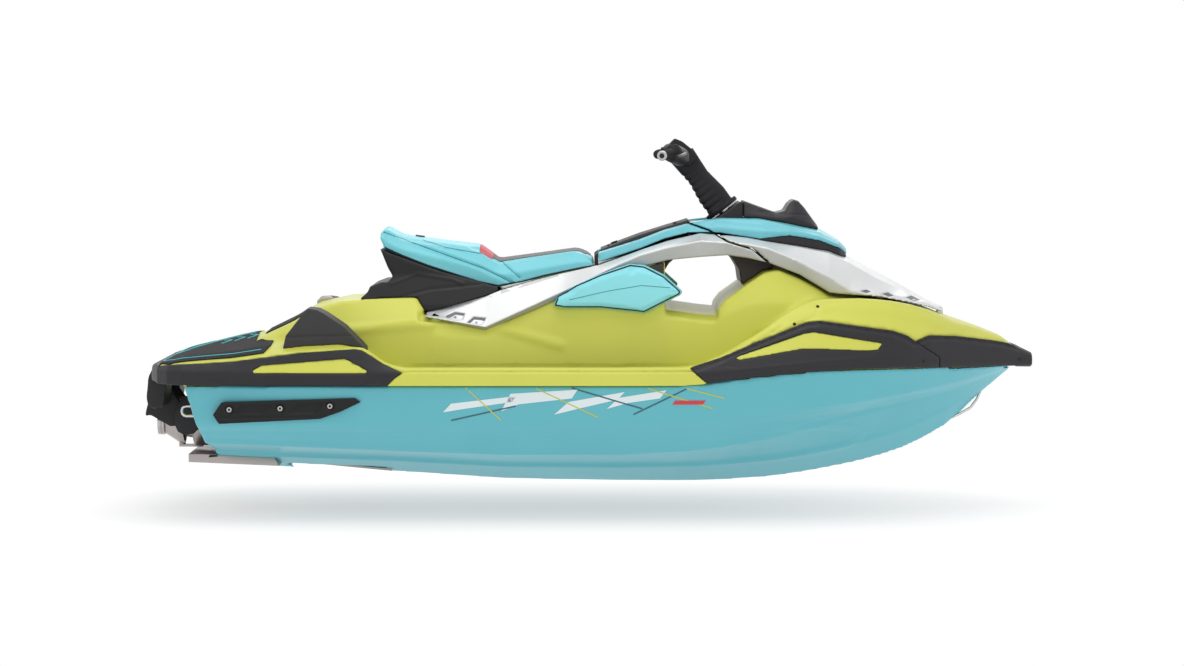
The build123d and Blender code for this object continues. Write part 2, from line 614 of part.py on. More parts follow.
def make_hood_hinge():
    """The hood's pivot at the bow: a pin between two lugs on the deck."""
    with BuildPart() as hinge:
        rod((HINGE_X, 0, HINGE_Z), (HINGE_X, 32, HINGE_Z), HINGE_PIN)
        side_cut([(HINGE_X - 7, HINGE_Z + 4), (HINGE_X + 7, HINGE_Z + 4), (HINGE_X + 12, HINGE_Z - 40),
                  (HINGE_X - 12, HINGE_Z - 40)], 22, 32)
        add(deck_half, mode=Mode.SUBTRACT)
        mirror(about=Plane.XZ)
    return hinge.part


def make_cowl():
    with BuildPart() as cowl:
        add(cowl_form)
        side_cut(seam_side(fore=True), 0, BEYOND, mode=Mode.INTERSECT)
        block(NOTCH_X, (0, NOTCH_HALF), (500, ABOVE), mode=Mode.SUBTRACT)
        mirror(about=Plane.XZ)
    return cowl.part


def cowl_base():
    """The black panel under the cowl, down to the hood's outer panel."""
    outlines = []
    for x in stations_of(COWL, 90):
        low_y, low = table_at(COWL, x)[:2]
        edge, foot = low_y - BASE_INSET, table_at(FRONT_COVER, x)[3]
        outlines.append((x, [(0, foot), (edge, foot), (edge, low + 1), (0, low + 1)]))
    skin(outlines)
    side_cut(seam_side(fore=True), 0, BEYOND, mode=Mode.INTERSECT)
    block(NOTCH_X, (0, NOTCH_HALF), (500, ABOVE), mode=Mode.SUBTRACT)
    block((0, BASE_X), (0, BEYOND), (BELOW, ABOVE), mode=Mode.SUBTRACT)
    add(cowl_form, mode=Mode.SUBTRACT)
    add(solid_of(section_band, FRONT_COVER), mode=Mode.SUBTRACT)


def make_visor():
    """The screen on the cowl, dished and kicked up to a crest, and the cowl's black base."""
    with BuildPart() as visor:
        skin([(x, [(0, VISOR_BASE), (low_y, VISOR_BASE), (low_y, low), (top_y, top - VISOR_EDGE),
                   (top_y - 14, top), (0, top)]) for x, low_y, low, top_y, top in VISOR])
        add(cowl_form, mode=Mode.SUBTRACT)
        add(solid_of(cowl_base))
        mirror(about=Plane.XZ)
    return visor.part


def make_column_surround():
    """The fixed cover inside the hood's notch, round the steering column."""
    with BuildPart() as surround:
        side_cut(SURROUND, 0, NOTCH_HALF - LID_GAP)
        mirror(about=Plane.XZ)
        rod(along(-150), along(60), BUSH_RADIUS, mode=Mode.SUBTRACT)
    return surround.part


def make_liner():
    """The dark structure that carries the arch over the gap in the deck."""
    with BuildPart() as liner:
        side_cut(LINER, 0, LINER_HALF)
        block(GLOVEBOX_X, (0, GLOVEBOX_HALF), (GLOVEBOX_FLOOR, ABOVE), mode=Mode.SUBTRACT)
        add(deck_half, mode=Mode.SUBTRACT)
        mirror(about=Plane.XZ)
        rod(along(-150), along(60), BUSH_RADIUS, mode=Mode.SUBTRACT)
    return liner.part


def pad_top_z(x):
    for (x0, z0), (x1, z1) in zip(PAD_TOP, PAD_TOP[1:]):
        if x <= x1:
            return z0 + (z1 - z0) * (x - x0) / (x1 - x0)
    return PAD_TOP[-1][1]


def lid_outline(gap=0, swing=0):
    ends = (LID_X[0] - gap, LID_X[1] + gap + swing)
    top = [(ends[0], pad_top_z(ends[0])), PAD_TOP[1], (ends[1], pad_top_z(ends[1]))]
    return [(x, z + gap * 3) for x, z in top] + [(x, z - LID_THICK) for x, z in reversed(top)]


def make_tank_pad():
    """The black pad behind the handlebar, with the glovebox's opening."""
    with BuildPart() as pad:
        side_cut(PAD_TOP + [(348, 630), (179, 582), (40, 545)], 0, 130)
        side_cut(lid_outline(LID_GAP, LID_SWING), 0, LID_HALF + LID_GAP, mode=Mode.SUBTRACT)
        block((LID_PIN_X - 14, LID_X[1] + LID_GAP + LID_SWING), (0, LID_HALF + LID_GAP),
              (LID_PIN_Z - 14, LID_PIN_Z + 20), mode=Mode.SUBTRACT)
        block(GLOVEBOX_X, (0, GLOVEBOX_HALF), (GLOVEBOX_FLOOR, ABOVE), mode=Mode.SUBTRACT)
        add(liner, mode=Mode.SUBTRACT)
        add(deck_half, mode=Mode.SUBTRACT)
        rod((LID_PIN_X, 0, LID_PIN_Z), (LID_PIN_X, LID_HALF + LID_GAP + 5, LID_PIN_Z), LID_PIN)
        mirror(about=Plane.XZ)
    return pad.part


def make_lid():
    with BuildPart() as lid:
        side_cut(lid_outline(), -LID_HALF, LID_HALF)
        rod((LID_PIN_X, -200, LID_PIN_Z), (LID_PIN_X, 200, LID_PIN_Z), LID_PIN + PIN_FIT, mode=Mode.SUBTRACT)
    return lid.part


def make_tank_cover():
    """The coloured cover each side of the pad."""
    with BuildPart() as cover:
        add(solid_of(section_band, TANK))
        side_cut(seam_side(fore=False), 0, BEYOND, mode=Mode.INTERSECT)
        block((0, 460), (0, NOTCH_HALF - LID_GAP + PIECE_GAP), (400, ABOVE), mode=Mode.SUBTRACT)
        add(liner, mode=Mode.SUBTRACT)
        add(arch_left, mode=Mode.SUBTRACT)
        add(deck_half, mode=Mode.SUBTRACT)
    return cover.part


# ---------------------------------------------------------------- seat, tail, knee pads, chocks
def seat_form(grow=0.0, drop=0.0):
    """Port half of the seat, or of the room it needs: grow to the side and above, drop below."""
    outlines = []
    for x, low, side, crown in SEAT:
        widest = (SEAT_HALF + 4 + grow, (low + side) / 2)
        outlines.append((x, [(0, low - drop), (SEAT_HALF + grow, low - drop), widest,
                             (SEAT_TOP_HALF + grow, side + grow), (0, crown + grow)]))
    skin(outlines)


def make_seat():
    with BuildPart() as seat:
        seat_form()
        mirror(about=Plane.XZ)
    return seat.part


def make_tail():
    """The black fairing between the rear deck and the seat."""
    with BuildPart() as tail:
        side_cut(TAIL, 0, 300)
        with BuildSketch(Plane(origin=(-900, 0, 0), x_dir=(0, 1, 0), z_dir=(1, 0, 0))) as section:
            with BuildLine():
                Polyline(*TAIL_SECTION, close=True)
            make_face()
        extrude(section.sketch, amount=ABOVE, mode=Mode.INTERSECT)
        add(solid_of(seat_form, LID_GAP, REST_GAP), mode=Mode.SUBTRACT)
        add(deck_half, mode=Mode.SUBTRACT)
        add(arch_left, mode=Mode.SUBTRACT)
        block(HATCH_X, (0, HATCH_HALF), (0, ABOVE), mode=Mode.SUBTRACT)
        mirror(about=Plane.XZ)
    return tail.part


def make_knee_pad():
    with BuildPart() as pad:
        side_cut(KNEE_PAD, 285, 322)
        add(deck_half, mode=Mode.SUBTRACT)
        add(arch_left, mode=Mode.SUBTRACT)
    return pad.part


def make_chock():
    with BuildPart() as chock:
        side_cut(CHOCK, 330, 484)
        add(deck_half, mode=Mode.SUBTRACT)
    return chock.part


def make_stern_pad():
    """The fender under the stern's corner, beside the reverse bucket."""
    with BuildPart() as pad:
        side_cut(STERN_PAD, BUCKET_HALF + BUCKET_ROOM, 300)
        add(stern_edge, mode=Mode.SUBTRACT)
    return pad.part


def make_sponson():
    with BuildPart() as sponson:
        side_cut(SPONSON, 527, 558)
        add(hull, mode=Mode.SUBTRACT)
    return sponson.part


def make_ride_plate():
    with BuildPart() as plate:
        side_cut(RIDE_PLATE, -RIDE_PLATE_HALF, RIDE_PLATE_HALF)
        add(hull, mode=Mode.SUBTRACT)
    return plate.part


# ---------------------------------------------------------------- steering
def along(distance, side=0, fore=0):
    """A point by the steering axis: distance up it, side to port, fore ahead of it."""
    rake = math.radians(STEER_RAKE)
    up = Vector(-math.sin(rake), 0, math.cos(rake)) * distance
    return Vector(STEER_X, side, STEER_Z) + up + Vector(math.cos(rake), 0, math.sin(rake)) * fore


def steering_plane(distance):
    return Plane(origin=along(distance), x_dir=(0, 1, 0), z_dir=along(1) - along(0))


def make_riser():
    """The padded cover over the handlebar's riser."""
    with BuildPart() as riser:
        rod(along(COLLAR[0]), along(COLLAR[1]), COLLAR_RADIUS)
        for distance, wide, deep in RISER:
            with BuildSketch(steering_plane(distance)):
                RectangleRounded(wide, deep, 20)
        loft(ruled=True)
        side_cut(BAR_COVER, -BAR_COVER_HALF, BAR_COVER_HALF)
        add(handlebar, mode=Mode.SUBTRACT)
    return riser.part


def make_column():
    with BuildPart() as column:
        rod(along(-110), along(COLLAR[0]), COLUMN_RADIUS)
    return column.part


def make_bush():
    with BuildPart() as bush:
        rod(along(-100), along(-52), BUSH_RADIUS)
        rod(along(-120), along(20), COLUMN_RADIUS + BUSH_FIT, mode=Mode.SUBTRACT)
    return bush.part


def make_handlebar():
    """The bar: level across the riser, then back to the grips."""
    with BuildPart() as bar:
        for side in (1, -1):
            rod(along(218), along(218, side * BEND_Y), BAR_RADIUS)
            rod(along(218, side * BEND_Y), grip_inner(side), BAR_RADIUS)
            rod(grip_inner(side), grip_end(side), BAR_RADIUS)
    return bar.part


def grip_end(side):
    return Vector(GRIP_X, side * BAR_HALF, GRIP_Z)


def grip_inner(side):
    return Vector(GRIP_X + 38, side * (BAR_HALF - GRIP_LENGTH), GRIP_Z + 10)


def make_grip():
    with BuildPart() as grip:
        rod(grip_inner(1), grip_end(1), GRIP_RADIUS)
        add(handlebar, mode=Mode.SUBTRACT)
    return grip.part


def make_pod():
    start, end = grip_inner(1), along(218, BEND_Y)
    with BuildPart() as pod:
        rod(start + (end - start) * 0.05, start + (end - start) * 0.6, POD_RADIUS)
        add(handlebar, mode=Mode.SUBTRACT)
    return pod.part


def make_lever():
    """A lever ahead of the grip, held by the pod."""
    start = grip_inner(1)
    with BuildPart() as lever:
        rod(start + Vector(46, 0, -4), grip_end(1) + Vector(52, -24, -6), 6)
        rod(start + Vector(46, 0, -4), start + Vector(16, -12, -2), 7)
        add(pod_left, mode=Mode.SUBTRACT)
        add(handlebar, mode=Mode.SUBTRACT)
        add(grip_left, mode=Mode.SUBTRACT)
    return lever.part


# ---------------------------------------------------------------- jet drive and engine
def jet_rod(x_from, x_to, radius, mode=Mode.ADD):
    rod((x_from, 0, JET_Z), (x_to, 0, JET_Z), radius, mode=mode)


def blades(count, x_range, inner, outer, thick):
    """Flat blades round the pump's axis."""
    for number in range(count):
        plane = Plane(origin=(0, 0, JET_Z), x_dir=(1, 0, 0), z_dir=Vector(0, -1, 0)).rotated(
            (360 * number / count, 0, 0))
        with BuildSketch(plane) as blade:
            with Locations(((x_range[0] + x_range[1]) / 2, (inner + outer) / 2)):
                Rectangle(x_range[1] - x_range[0], outer - inner)
        extrude(blade.sketch, amount=thick / 2, both=True)


def make_pump():
    """Pump housing with its stator vanes, tail cone and the ears of the nozzle's pivot."""
    with BuildPart() as housing:
        jet_rod(*PUMP_X, PUMP_RADIUS)
        jet_rod(PUMP_X[0] - 1, PUMP_X[1] + 1, PUMP_BORE, mode=Mode.SUBTRACT)
        jet_rod(PUMP_X[0] + 6, IMPELLER_X[0] - 1, HUB_RADIUS)
        jet_rod(IMPELLER_X[0] - 50, IMPELLER_X[0], SHAFT_RADIUS + PIN_FIT, mode=Mode.SUBTRACT)
        blades(5, (PUMP_X[0] + 10, IMPELLER_X[0] - 10), HUB_RADIUS - 3, PUMP_BORE + 3, 5)
        for side in (1, -1):
            level = JET_Z + side * PUMP_RADIUS
            with BuildSketch(Plane.XY.offset(level)) as ear:
                with Locations(((NOZZLE_PIVOT_X + PUMP_X[0] + 16) / 2, 0)):
                    Rectangle(PUMP_X[0] + 16 - NOZZLE_PIVOT_X + 20, 30)
                with Locations((NOZZLE_PIVOT_X, 0)):
                    Circle(6 + PIN_FIT, mode=Mode.SUBTRACT)
            extrude(ear.sketch, amount=4, both=True)
    return housing.part


def make_tail_cone():
    """The pump's tail cone, inside the nozzle's mouth."""
    with BuildPart() as cone:
        with BuildSketch(Plane.XZ) as half:
            with BuildLine():
                Polyline((PUMP_X[0], JET_Z + 53), (PUMP_X[0], JET_Z + PUMP_RADIUS - 5),
                         (PUMP_X[0] - 4, JET_Z + PUMP_RADIUS - 5), (PUMP_X[0] - 4, JET_Z + 58),
                         (PUMP_X[0] - 40, JET_Z + 52), (PUMP_X[0] - 40, JET_Z + 47), close=True)
            make_face()
        revolve(half.sketch, axis=Axis((0, 0, JET_Z), (1, 0, 0)))
        add(pump, mode=Mode.SUBTRACT)
    return cone.part


def make_nozzle():
    with BuildPart() as nozzle:
        with BuildSketch(Plane.XZ) as half:
            with BuildLine():
                Polyline((-1440, JET_Z + NOZZLE_MOUTH), (-1458, JET_Z + NOZZLE_MOUTH - 4),
                         (-1509, JET_Z + NOZZLE_OUTLET), (-1512, JET_Z + NOZZLE_OUTLET + 4),
                         (NOZZLE_END_X, JET_Z + NOZZLE_OUTLET + 4),
                         (NOZZLE_END_X, JET_Z + NOZZLE_OUTLET - 6), (-1509, JET_Z + NOZZLE_OUTLET - 6),
                         (-1458, JET_Z + NOZZLE_MOUTH - 11), (-1440, JET_Z + NOZZLE_MOUTH - 6), close=True)
            make_face()
        revolve(half.sketch, axis=Axis((0, 0, JET_Z), (1, 0, 0)))
        for side in (1, -1):
            rod((NOZZLE_PIVOT_X, 0, JET_Z + side * (NOZZLE_MOUTH - 8)),
                (NOZZLE_PIVOT_X, 0, JET_Z + side * (PUMP_RADIUS - 4.3)), 12)
            rod((NOZZLE_PIVOT_X, 0, JET_Z + side * (PUMP_RADIUS - 5)),
                (NOZZLE_PIVOT_X, 0, JET_Z + side * (PUMP_RADIUS + 4)), 6)
    return nozzle.part


def arc(radius, start, end, count=9):
    """Points of an arc about the bucket's pivot, in side view; angles in degrees from forward."""
    angles = [math.radians(start + (end - start) * number / (count - 1)) for number in range(count)]
    return [(BUCKET_X + radius * math.cos(angle), BUCKET_Z + radius * math.sin(angle)) for angle in angles]


def make_bucket():
    """The reverse bucket, raised: a curved scoop between two cheeks that hang on the pivot pins."""
    inner = BUCKET_OUTER - BUCKET_WALL
    with BuildPart() as bucket:
        side_cut(arc(BUCKET_OUTER, *BUCKET_ARC) + arc(inner, *reversed(BUCKET_ARC)), 0, BUCKET_HALF)
        boss = [(BUCKET_X, BUCKET_Z - 22), (BUCKET_X + 20, BUCKET_Z), (BUCKET_X, BUCKET_Z + 22)]
        side_cut(arc(inner + 1, BUCKET_ARC[0] + 4, BUCKET_ARC[1] - 1) + BUCKET_CHEEK + boss,
                 BUCKET_HALF - BUCKET_WALL, BUCKET_HALF)
        rod((BUCKET_X, 0, BUCKET_Z), (BUCKET_X, 300, BUCKET_Z), PIN_RADIUS + PIN_FIT, mode=Mode.SUBTRACT)
        mirror(about=Plane.XZ)
    return bucket.part


def make_bracket():
    """The fixed arm with the bucket's pivot pin, on the side of the pump."""
    with BuildPart() as bracket:
        side_cut(BRACKET, BUCKET_HALF + 5, BUCKET_HALF + 17)
        side_cut(BRACKET_FOOT, 60, BUCKET_HALF + 6)
        rod((BUCKET_X, BUCKET_HALF - 12, BUCKET_Z), (BUCKET_X, BUCKET_HALF + 6, BUCKET_Z), PIN_RADIUS)
        jet_rod(-1500, -1300, PUMP_RADIUS + PIN_FIT, mode=Mode.SUBTRACT)
    return bracket.part


def make_impeller():
    with BuildPart() as impeller:
        jet_rod(*IMPELLER_X, HUB_RADIUS)
        blades(3, (IMPELLER_X[0] + 5, IMPELLER_X[1] - 5), HUB_RADIUS - 3, PUMP_BORE - BLADE_GAP, 6)
        jet_rod(IMPELLER_X[0] - 1, IMPELLER_X[1] + 1, SHAFT_RADIUS, mode=Mode.SUBTRACT)
    return impeller.part


def make_shaft():
    with BuildPart() as shaft:
        jet_rod(IMPELLER_X[0] - 45, ENGINE_X[0] - 0.5, SHAFT_RADIUS)
    return shaft.part


def make_engine():
    with BuildPart() as engine:
        block(ENGINE_X, (-ENGINE_HALF, ENGINE_HALF), ENGINE_Z)
        for fore in (ENGINE_X[0] + 30, ENGINE_X[1] - 90):
            for side in (-ENGINE_HALF + 10, ENGINE_HALF - 60):
                block((fore, fore + 60), (side, side + 50), (BAY_FLOOR, ENGINE_Z[0] + 1))
    return engine.part


def make_grate():
    """Bars across the jet intake, let into the keel."""
    with BuildPart() as grate:
        for side in (-45, 0, 45):
            rod((-990, side, -168), (-700, side, -196), 6)
        add(hull, mode=Mode.SUBTRACT)
    return grate.part


def loop(points, radius):
    """A round bar bent through points."""
    for start, end in zip(points, points[1:]):
        rod(start, end, radius)


def make_bow_eye():
    with BuildPart() as eye:
        loop(BOW_EYE, EYE_ROD)
        add(hull, mode=Mode.SUBTRACT)
    return eye.part


def make_stern_eye():
    with BuildPart() as eye:
        loop(STERN_EYE, EYE_ROD)
        add(hull, mode=Mode.SUBTRACT)
    return eye.part


def make_tow_hook():
    with BuildPart() as hook:
        side_cut(TOW_HOOK, -14, 14)
        add(deck, mode=Mode.SUBTRACT)
    return hook.part


# ---------------------------------------------------------------- the pieces
deck = both_sides(deck_half)
arch_left = make_arch()
cowl_form = solid_of(section_band, COWL)
liner = make_liner()
handlebar = make_handlebar()
pump = make_pump()
grip_left, pod_left = make_grip(), make_pod()
front_part = outer_part(front_room, proud_face, FRONT_INSERT)
front_insert = outer_part(front_room, insert_face, FRONT_INSERT, only_inset=True)
rear_part = outer_part(rear_room, proud_face, REAR_INSERT)
rear_insert = outer_part(rear_room, insert_face, REAR_INSERT, only_inset=True)

pieces = {
    "hull": hull,
    "deck": deck_blocks(),
    "front_bumpers": both_sides(front_part),
    "front_inserts": both_sides(front_insert),
    "nose_bumper": both_sides(outer_part(nose_room, proud_face)),
    "rear_bumper": both_sides(rear_part),
    "rear_inserts": both_sides(rear_insert),
    "rub_rails": both_sides(outer_part(rail_room, proud_face)),
    "arch_left": arch_left,
    "arch_right": mirror(arch_left, about=Plane.XZ),
    "arch_liner": liner,
    "hood_cover": make_hood_cover(),
    "hood_hinge": make_hood_hinge(),
    "cowl": make_cowl(),
    "visor": make_visor(),
    "column_surround": make_column_surround(),
    "tank_pad": make_tank_pad(),
    "tank_covers": both_sides(make_tank_cover()),
    "glovebox_lid": make_lid(),
    "seat": make_seat(),
    "tail_fairing": make_tail(),
    "knee_pads": both_sides(make_knee_pad()),
    "foot_chocks": both_sides(make_chock()),
    "stern_pads": both_sides(make_stern_pad()),
    "sponsons": both_sides(make_sponson()),
    "ride_plate": make_ride_plate(),
    "handlebar_riser": make_riser(),
    "steering_column": make_column(),
    "column_bush": make_bush(),
    "handlebar": handlebar,
    "grips": both_sides(grip_left),
    "switch_pods": both_sides(pod_left),
    "levers": both_sides(make_lever()),
    "pump_housing": pump,
    "tail_cone": make_tail_cone(),
    "impeller": make_impeller(),
    "drive_shaft": make_shaft(),
    "steering_nozzle": make_nozzle(),
    "reverse_bucket": make_bucket(),
    "bucket_brackets": both_sides(make_bracket()),
    "intake_grate": make_grate(),
    "engine_block": make_engine(),
    "bow_eye": make_bow_eye(),
    "stern_eyes": both_sides(make_stern_eye()),
    "tow_hook": make_tow_hook(),
}
for name, part in pieces.items():
    part.label = name
    export_step(part, f"parts/{name}.step")
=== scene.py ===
"""Looks for the personal watercraft: mouldings, seat cover, mats, fittings and their finishes."""

import json
import math

import bmesh
import bpy
import numpy as np
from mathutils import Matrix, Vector
from mathutils.bvhtree import BVHTree


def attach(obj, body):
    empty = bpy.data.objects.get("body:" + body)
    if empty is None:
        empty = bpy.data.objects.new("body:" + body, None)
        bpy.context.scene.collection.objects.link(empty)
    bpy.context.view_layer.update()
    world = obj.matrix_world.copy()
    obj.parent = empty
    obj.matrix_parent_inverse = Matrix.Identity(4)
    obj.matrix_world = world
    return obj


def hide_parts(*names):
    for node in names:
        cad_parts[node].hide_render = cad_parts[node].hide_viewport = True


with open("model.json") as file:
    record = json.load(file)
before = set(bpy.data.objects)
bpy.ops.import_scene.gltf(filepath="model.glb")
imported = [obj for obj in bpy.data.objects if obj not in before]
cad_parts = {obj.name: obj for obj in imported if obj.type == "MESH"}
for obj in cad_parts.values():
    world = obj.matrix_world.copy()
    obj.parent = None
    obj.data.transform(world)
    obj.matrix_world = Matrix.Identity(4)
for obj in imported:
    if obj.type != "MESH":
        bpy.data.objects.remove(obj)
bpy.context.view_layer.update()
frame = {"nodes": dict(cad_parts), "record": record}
MM = 0.001
scene = bpy.context.scene


def link(name, data, *materials):
    """A new object in the scene, with its finishes."""
    made = bpy.data.objects.new(name, data)
    scene.collection.objects.link(made)
    for material in materials:
        data.materials.append(material)
    return made


# ---- view, light and floor
TARGET = Vector((0.009, 0.0, 0.286))
ELEVATION = math.radians(3.4)
DISTANCE = 12.0
camera = link("side_camera", bpy.data.cameras.new("side_camera"))
camera.data.lens = 102.6
camera.location = TARGET + DISTANCE * Vector((0, -math.cos(ELEVATION), math.sin(ELEVATION)))
camera.rotation_euler = (math.pi / 2 - ELEVATION, 0, 0)
scene.camera = camera
scene.view_settings.view_transform = "Standard"

FLOOR_Z = -0.336  # the craft is shown hung just over a white studio floor
FLOOR_REACH = 60
FLOOR_GLOW = (0.5, 0.86)  # glow under the craft, dimmed there as painted shadow, and in the open
FLOOR_FADE = (1.3, 2.3)  # metres across the craft over which the floor turns to plain white
FLOOR_SPREAD = (0.62, 1.0, 0.0)  # which reach further along the craft
SKY_LIGHT = 0.58  # the white surround's share as light; it is seen at full strength
LAMPS = (  # name, place, size, power
    ("top_lamp", (-0.3, -0.9, 4.2), (5.0, 3.0), 90),
    ("front_lamp", (0.6, -5.0, 2.6), (4.0, 2.0), 36),
    ("back_lamp", (0.4, 4.6, 2.6), (4.0, 2.0), 36),
)
LAMP_AIM = Vector((0, 0, 0.2))


def add_node(tree, kind, inputs=None, **settings):
    """A node with its settings, and its inputs set to values or linked from outputs."""
    made = tree.nodes.new(kind)
    for name, value in settings.items():
        setattr(made, name, value)
    for name, value in (inputs or {}).items():
        if isinstance(value, bpy.types.NodeSocket):
            tree.links.new(value, made.inputs[name])
        else:
            made.inputs[name].default_value = value
    return made


def linear(hex_colour):
    """An sRGB hex value as the linear colour that shaders take."""
    channels = [int(hex_colour[start:start + 2], 16) / 255 for start in (1, 3, 5)]
    return tuple(c / 12.92 if c <= 0.04045 else ((c + 0.055) / 1.055) ** 2.4 for c in channels) + (1.0,)


def seen_ray(tree):
    """1 where the eye, a reflection or glass looks, 0 where light is worked out."""
    path = add_node(tree, "ShaderNodeLightPath")
    seen = add_node(
        tree, "ShaderNodeMath", {0: path.outputs["Is Camera Ray"], 1: path.outputs["Is Glossy Ray"]},
        operation="MAXIMUM")
    return add_node(tree, "ShaderNodeMath", {0: seen.outputs[0], 1: path.outputs["Is Transmission Ray"]},
                    operation="MAXIMUM").outputs[0]


def studio():
    """Even light from all round, a broad lamp above, softer ones at the sides, and a white surround."""
    world = bpy.data.worlds.new("studio")
    scene.world = world
    world.use_nodes = True
    tree = world.node_tree
    tree.nodes.clear()
    strength = add_node(
        tree, "ShaderNodeMapRange", {"Value": seen_ray(tree), "To Min": SKY_LIGHT, "To Max": 1.0})
    background = add_node(
        tree, "ShaderNodeBackground", {"Color": (1, 1, 1, 1), "Strength": strength.outputs[0]})
    add_node(tree, "ShaderNodeOutputWorld", {"Surface": background.outputs[0]})
    for name, place, size, power in LAMPS:
        lamp = link(name, bpy.data.lights.new(name, "AREA"))
        lamp.data.shape = "RECTANGLE"
        lamp.data.size, lamp.data.size_y = size
        lamp.data.energy = power
        lamp.location = place
        lamp.rotation_euler = (LAMP_AIM - Vector(place)).to_track_quat("-Z", "Y").to_euler()


def floor():
    """A white floor, faintly lit from beneath, that keeps a pale shadow, cast by the lamps and painted into
    its glow, and runs out to plain white.
    """
    data = bpy.data.meshes.new("floor")
    corners = [(x * FLOOR_REACH, y * FLOOR_REACH, FLOOR_Z) for x, y in ((-1, -1), (1, -1), (1, 1), (-1, 1))]
    data.from_pydata(corners, [], [(0, 1, 2, 3)])
    material = bpy.data.materials.new("floor_paper")
    material.use_nodes = True
    tree = material.node_tree
    tree.nodes.clear()
    seen = seen_ray(tree)
    place = add_node(tree, "ShaderNodeTexCoord").outputs["Object"]
    spread = add_node(tree, "ShaderNodeVectorMath", {0: place, 1: FLOOR_SPREAD}, operation="MULTIPLY")
    away = add_node(tree, "ShaderNodeVectorMath", {0: spread.outputs[0]}, operation="LENGTH")
    far = add_node(
        tree, "ShaderNodeMapRange",
        {"Value": away.outputs["Value"], "From Min": FLOOR_FADE[0], "From Max": FLOOR_FADE[1]},
        interpolation_type="SMOOTHSTEP")
    white = add_node(tree, "ShaderNodeMath", {0: far.outputs[0], 1: seen}, operation="MULTIPLY")
    paper = add_node(tree, "ShaderNodeBsdfDiffuse", {"Color": (0.25, 0.25, 0.25, 1)})
    # painted shadow: the floor's glow is dimmed by occlusion where the craft covers it
    open_sky = add_node(tree, "ShaderNodeAmbientOcclusion", {"Distance": 0.8})
    painted_shadow_glow = add_node(
        tree, "ShaderNodeMapRange",
        {"Value": open_sky.outputs["AO"], "To Min": FLOOR_GLOW[0], "To Max": FLOOR_GLOW[1]})
    glow = add_node(tree, "ShaderNodeEmission", {"Strength": painted_shadow_glow.outputs[0]})
    lit = add_node(tree, "ShaderNodeAddShader", {0: paper.outputs[0], 1: glow.outputs[0]})
    plain = add_node(tree, "ShaderNodeEmission", {"Strength": 1.0})
    both = add_node(
        tree, "ShaderNodeMixShader", {0: white.outputs[0], 1: lit.outputs[0], 2: plain.outputs[0]})
    add_node(tree, "ShaderNodeOutputMaterial", {"Surface": both.outputs[0]})
    plane = link("floor", data, material)


studio()
floor()


# ---- finishes
MOTTLE_MM = 180
FLAKE_MM = 1.6
GROOVE_DEPTH = 2 * MM


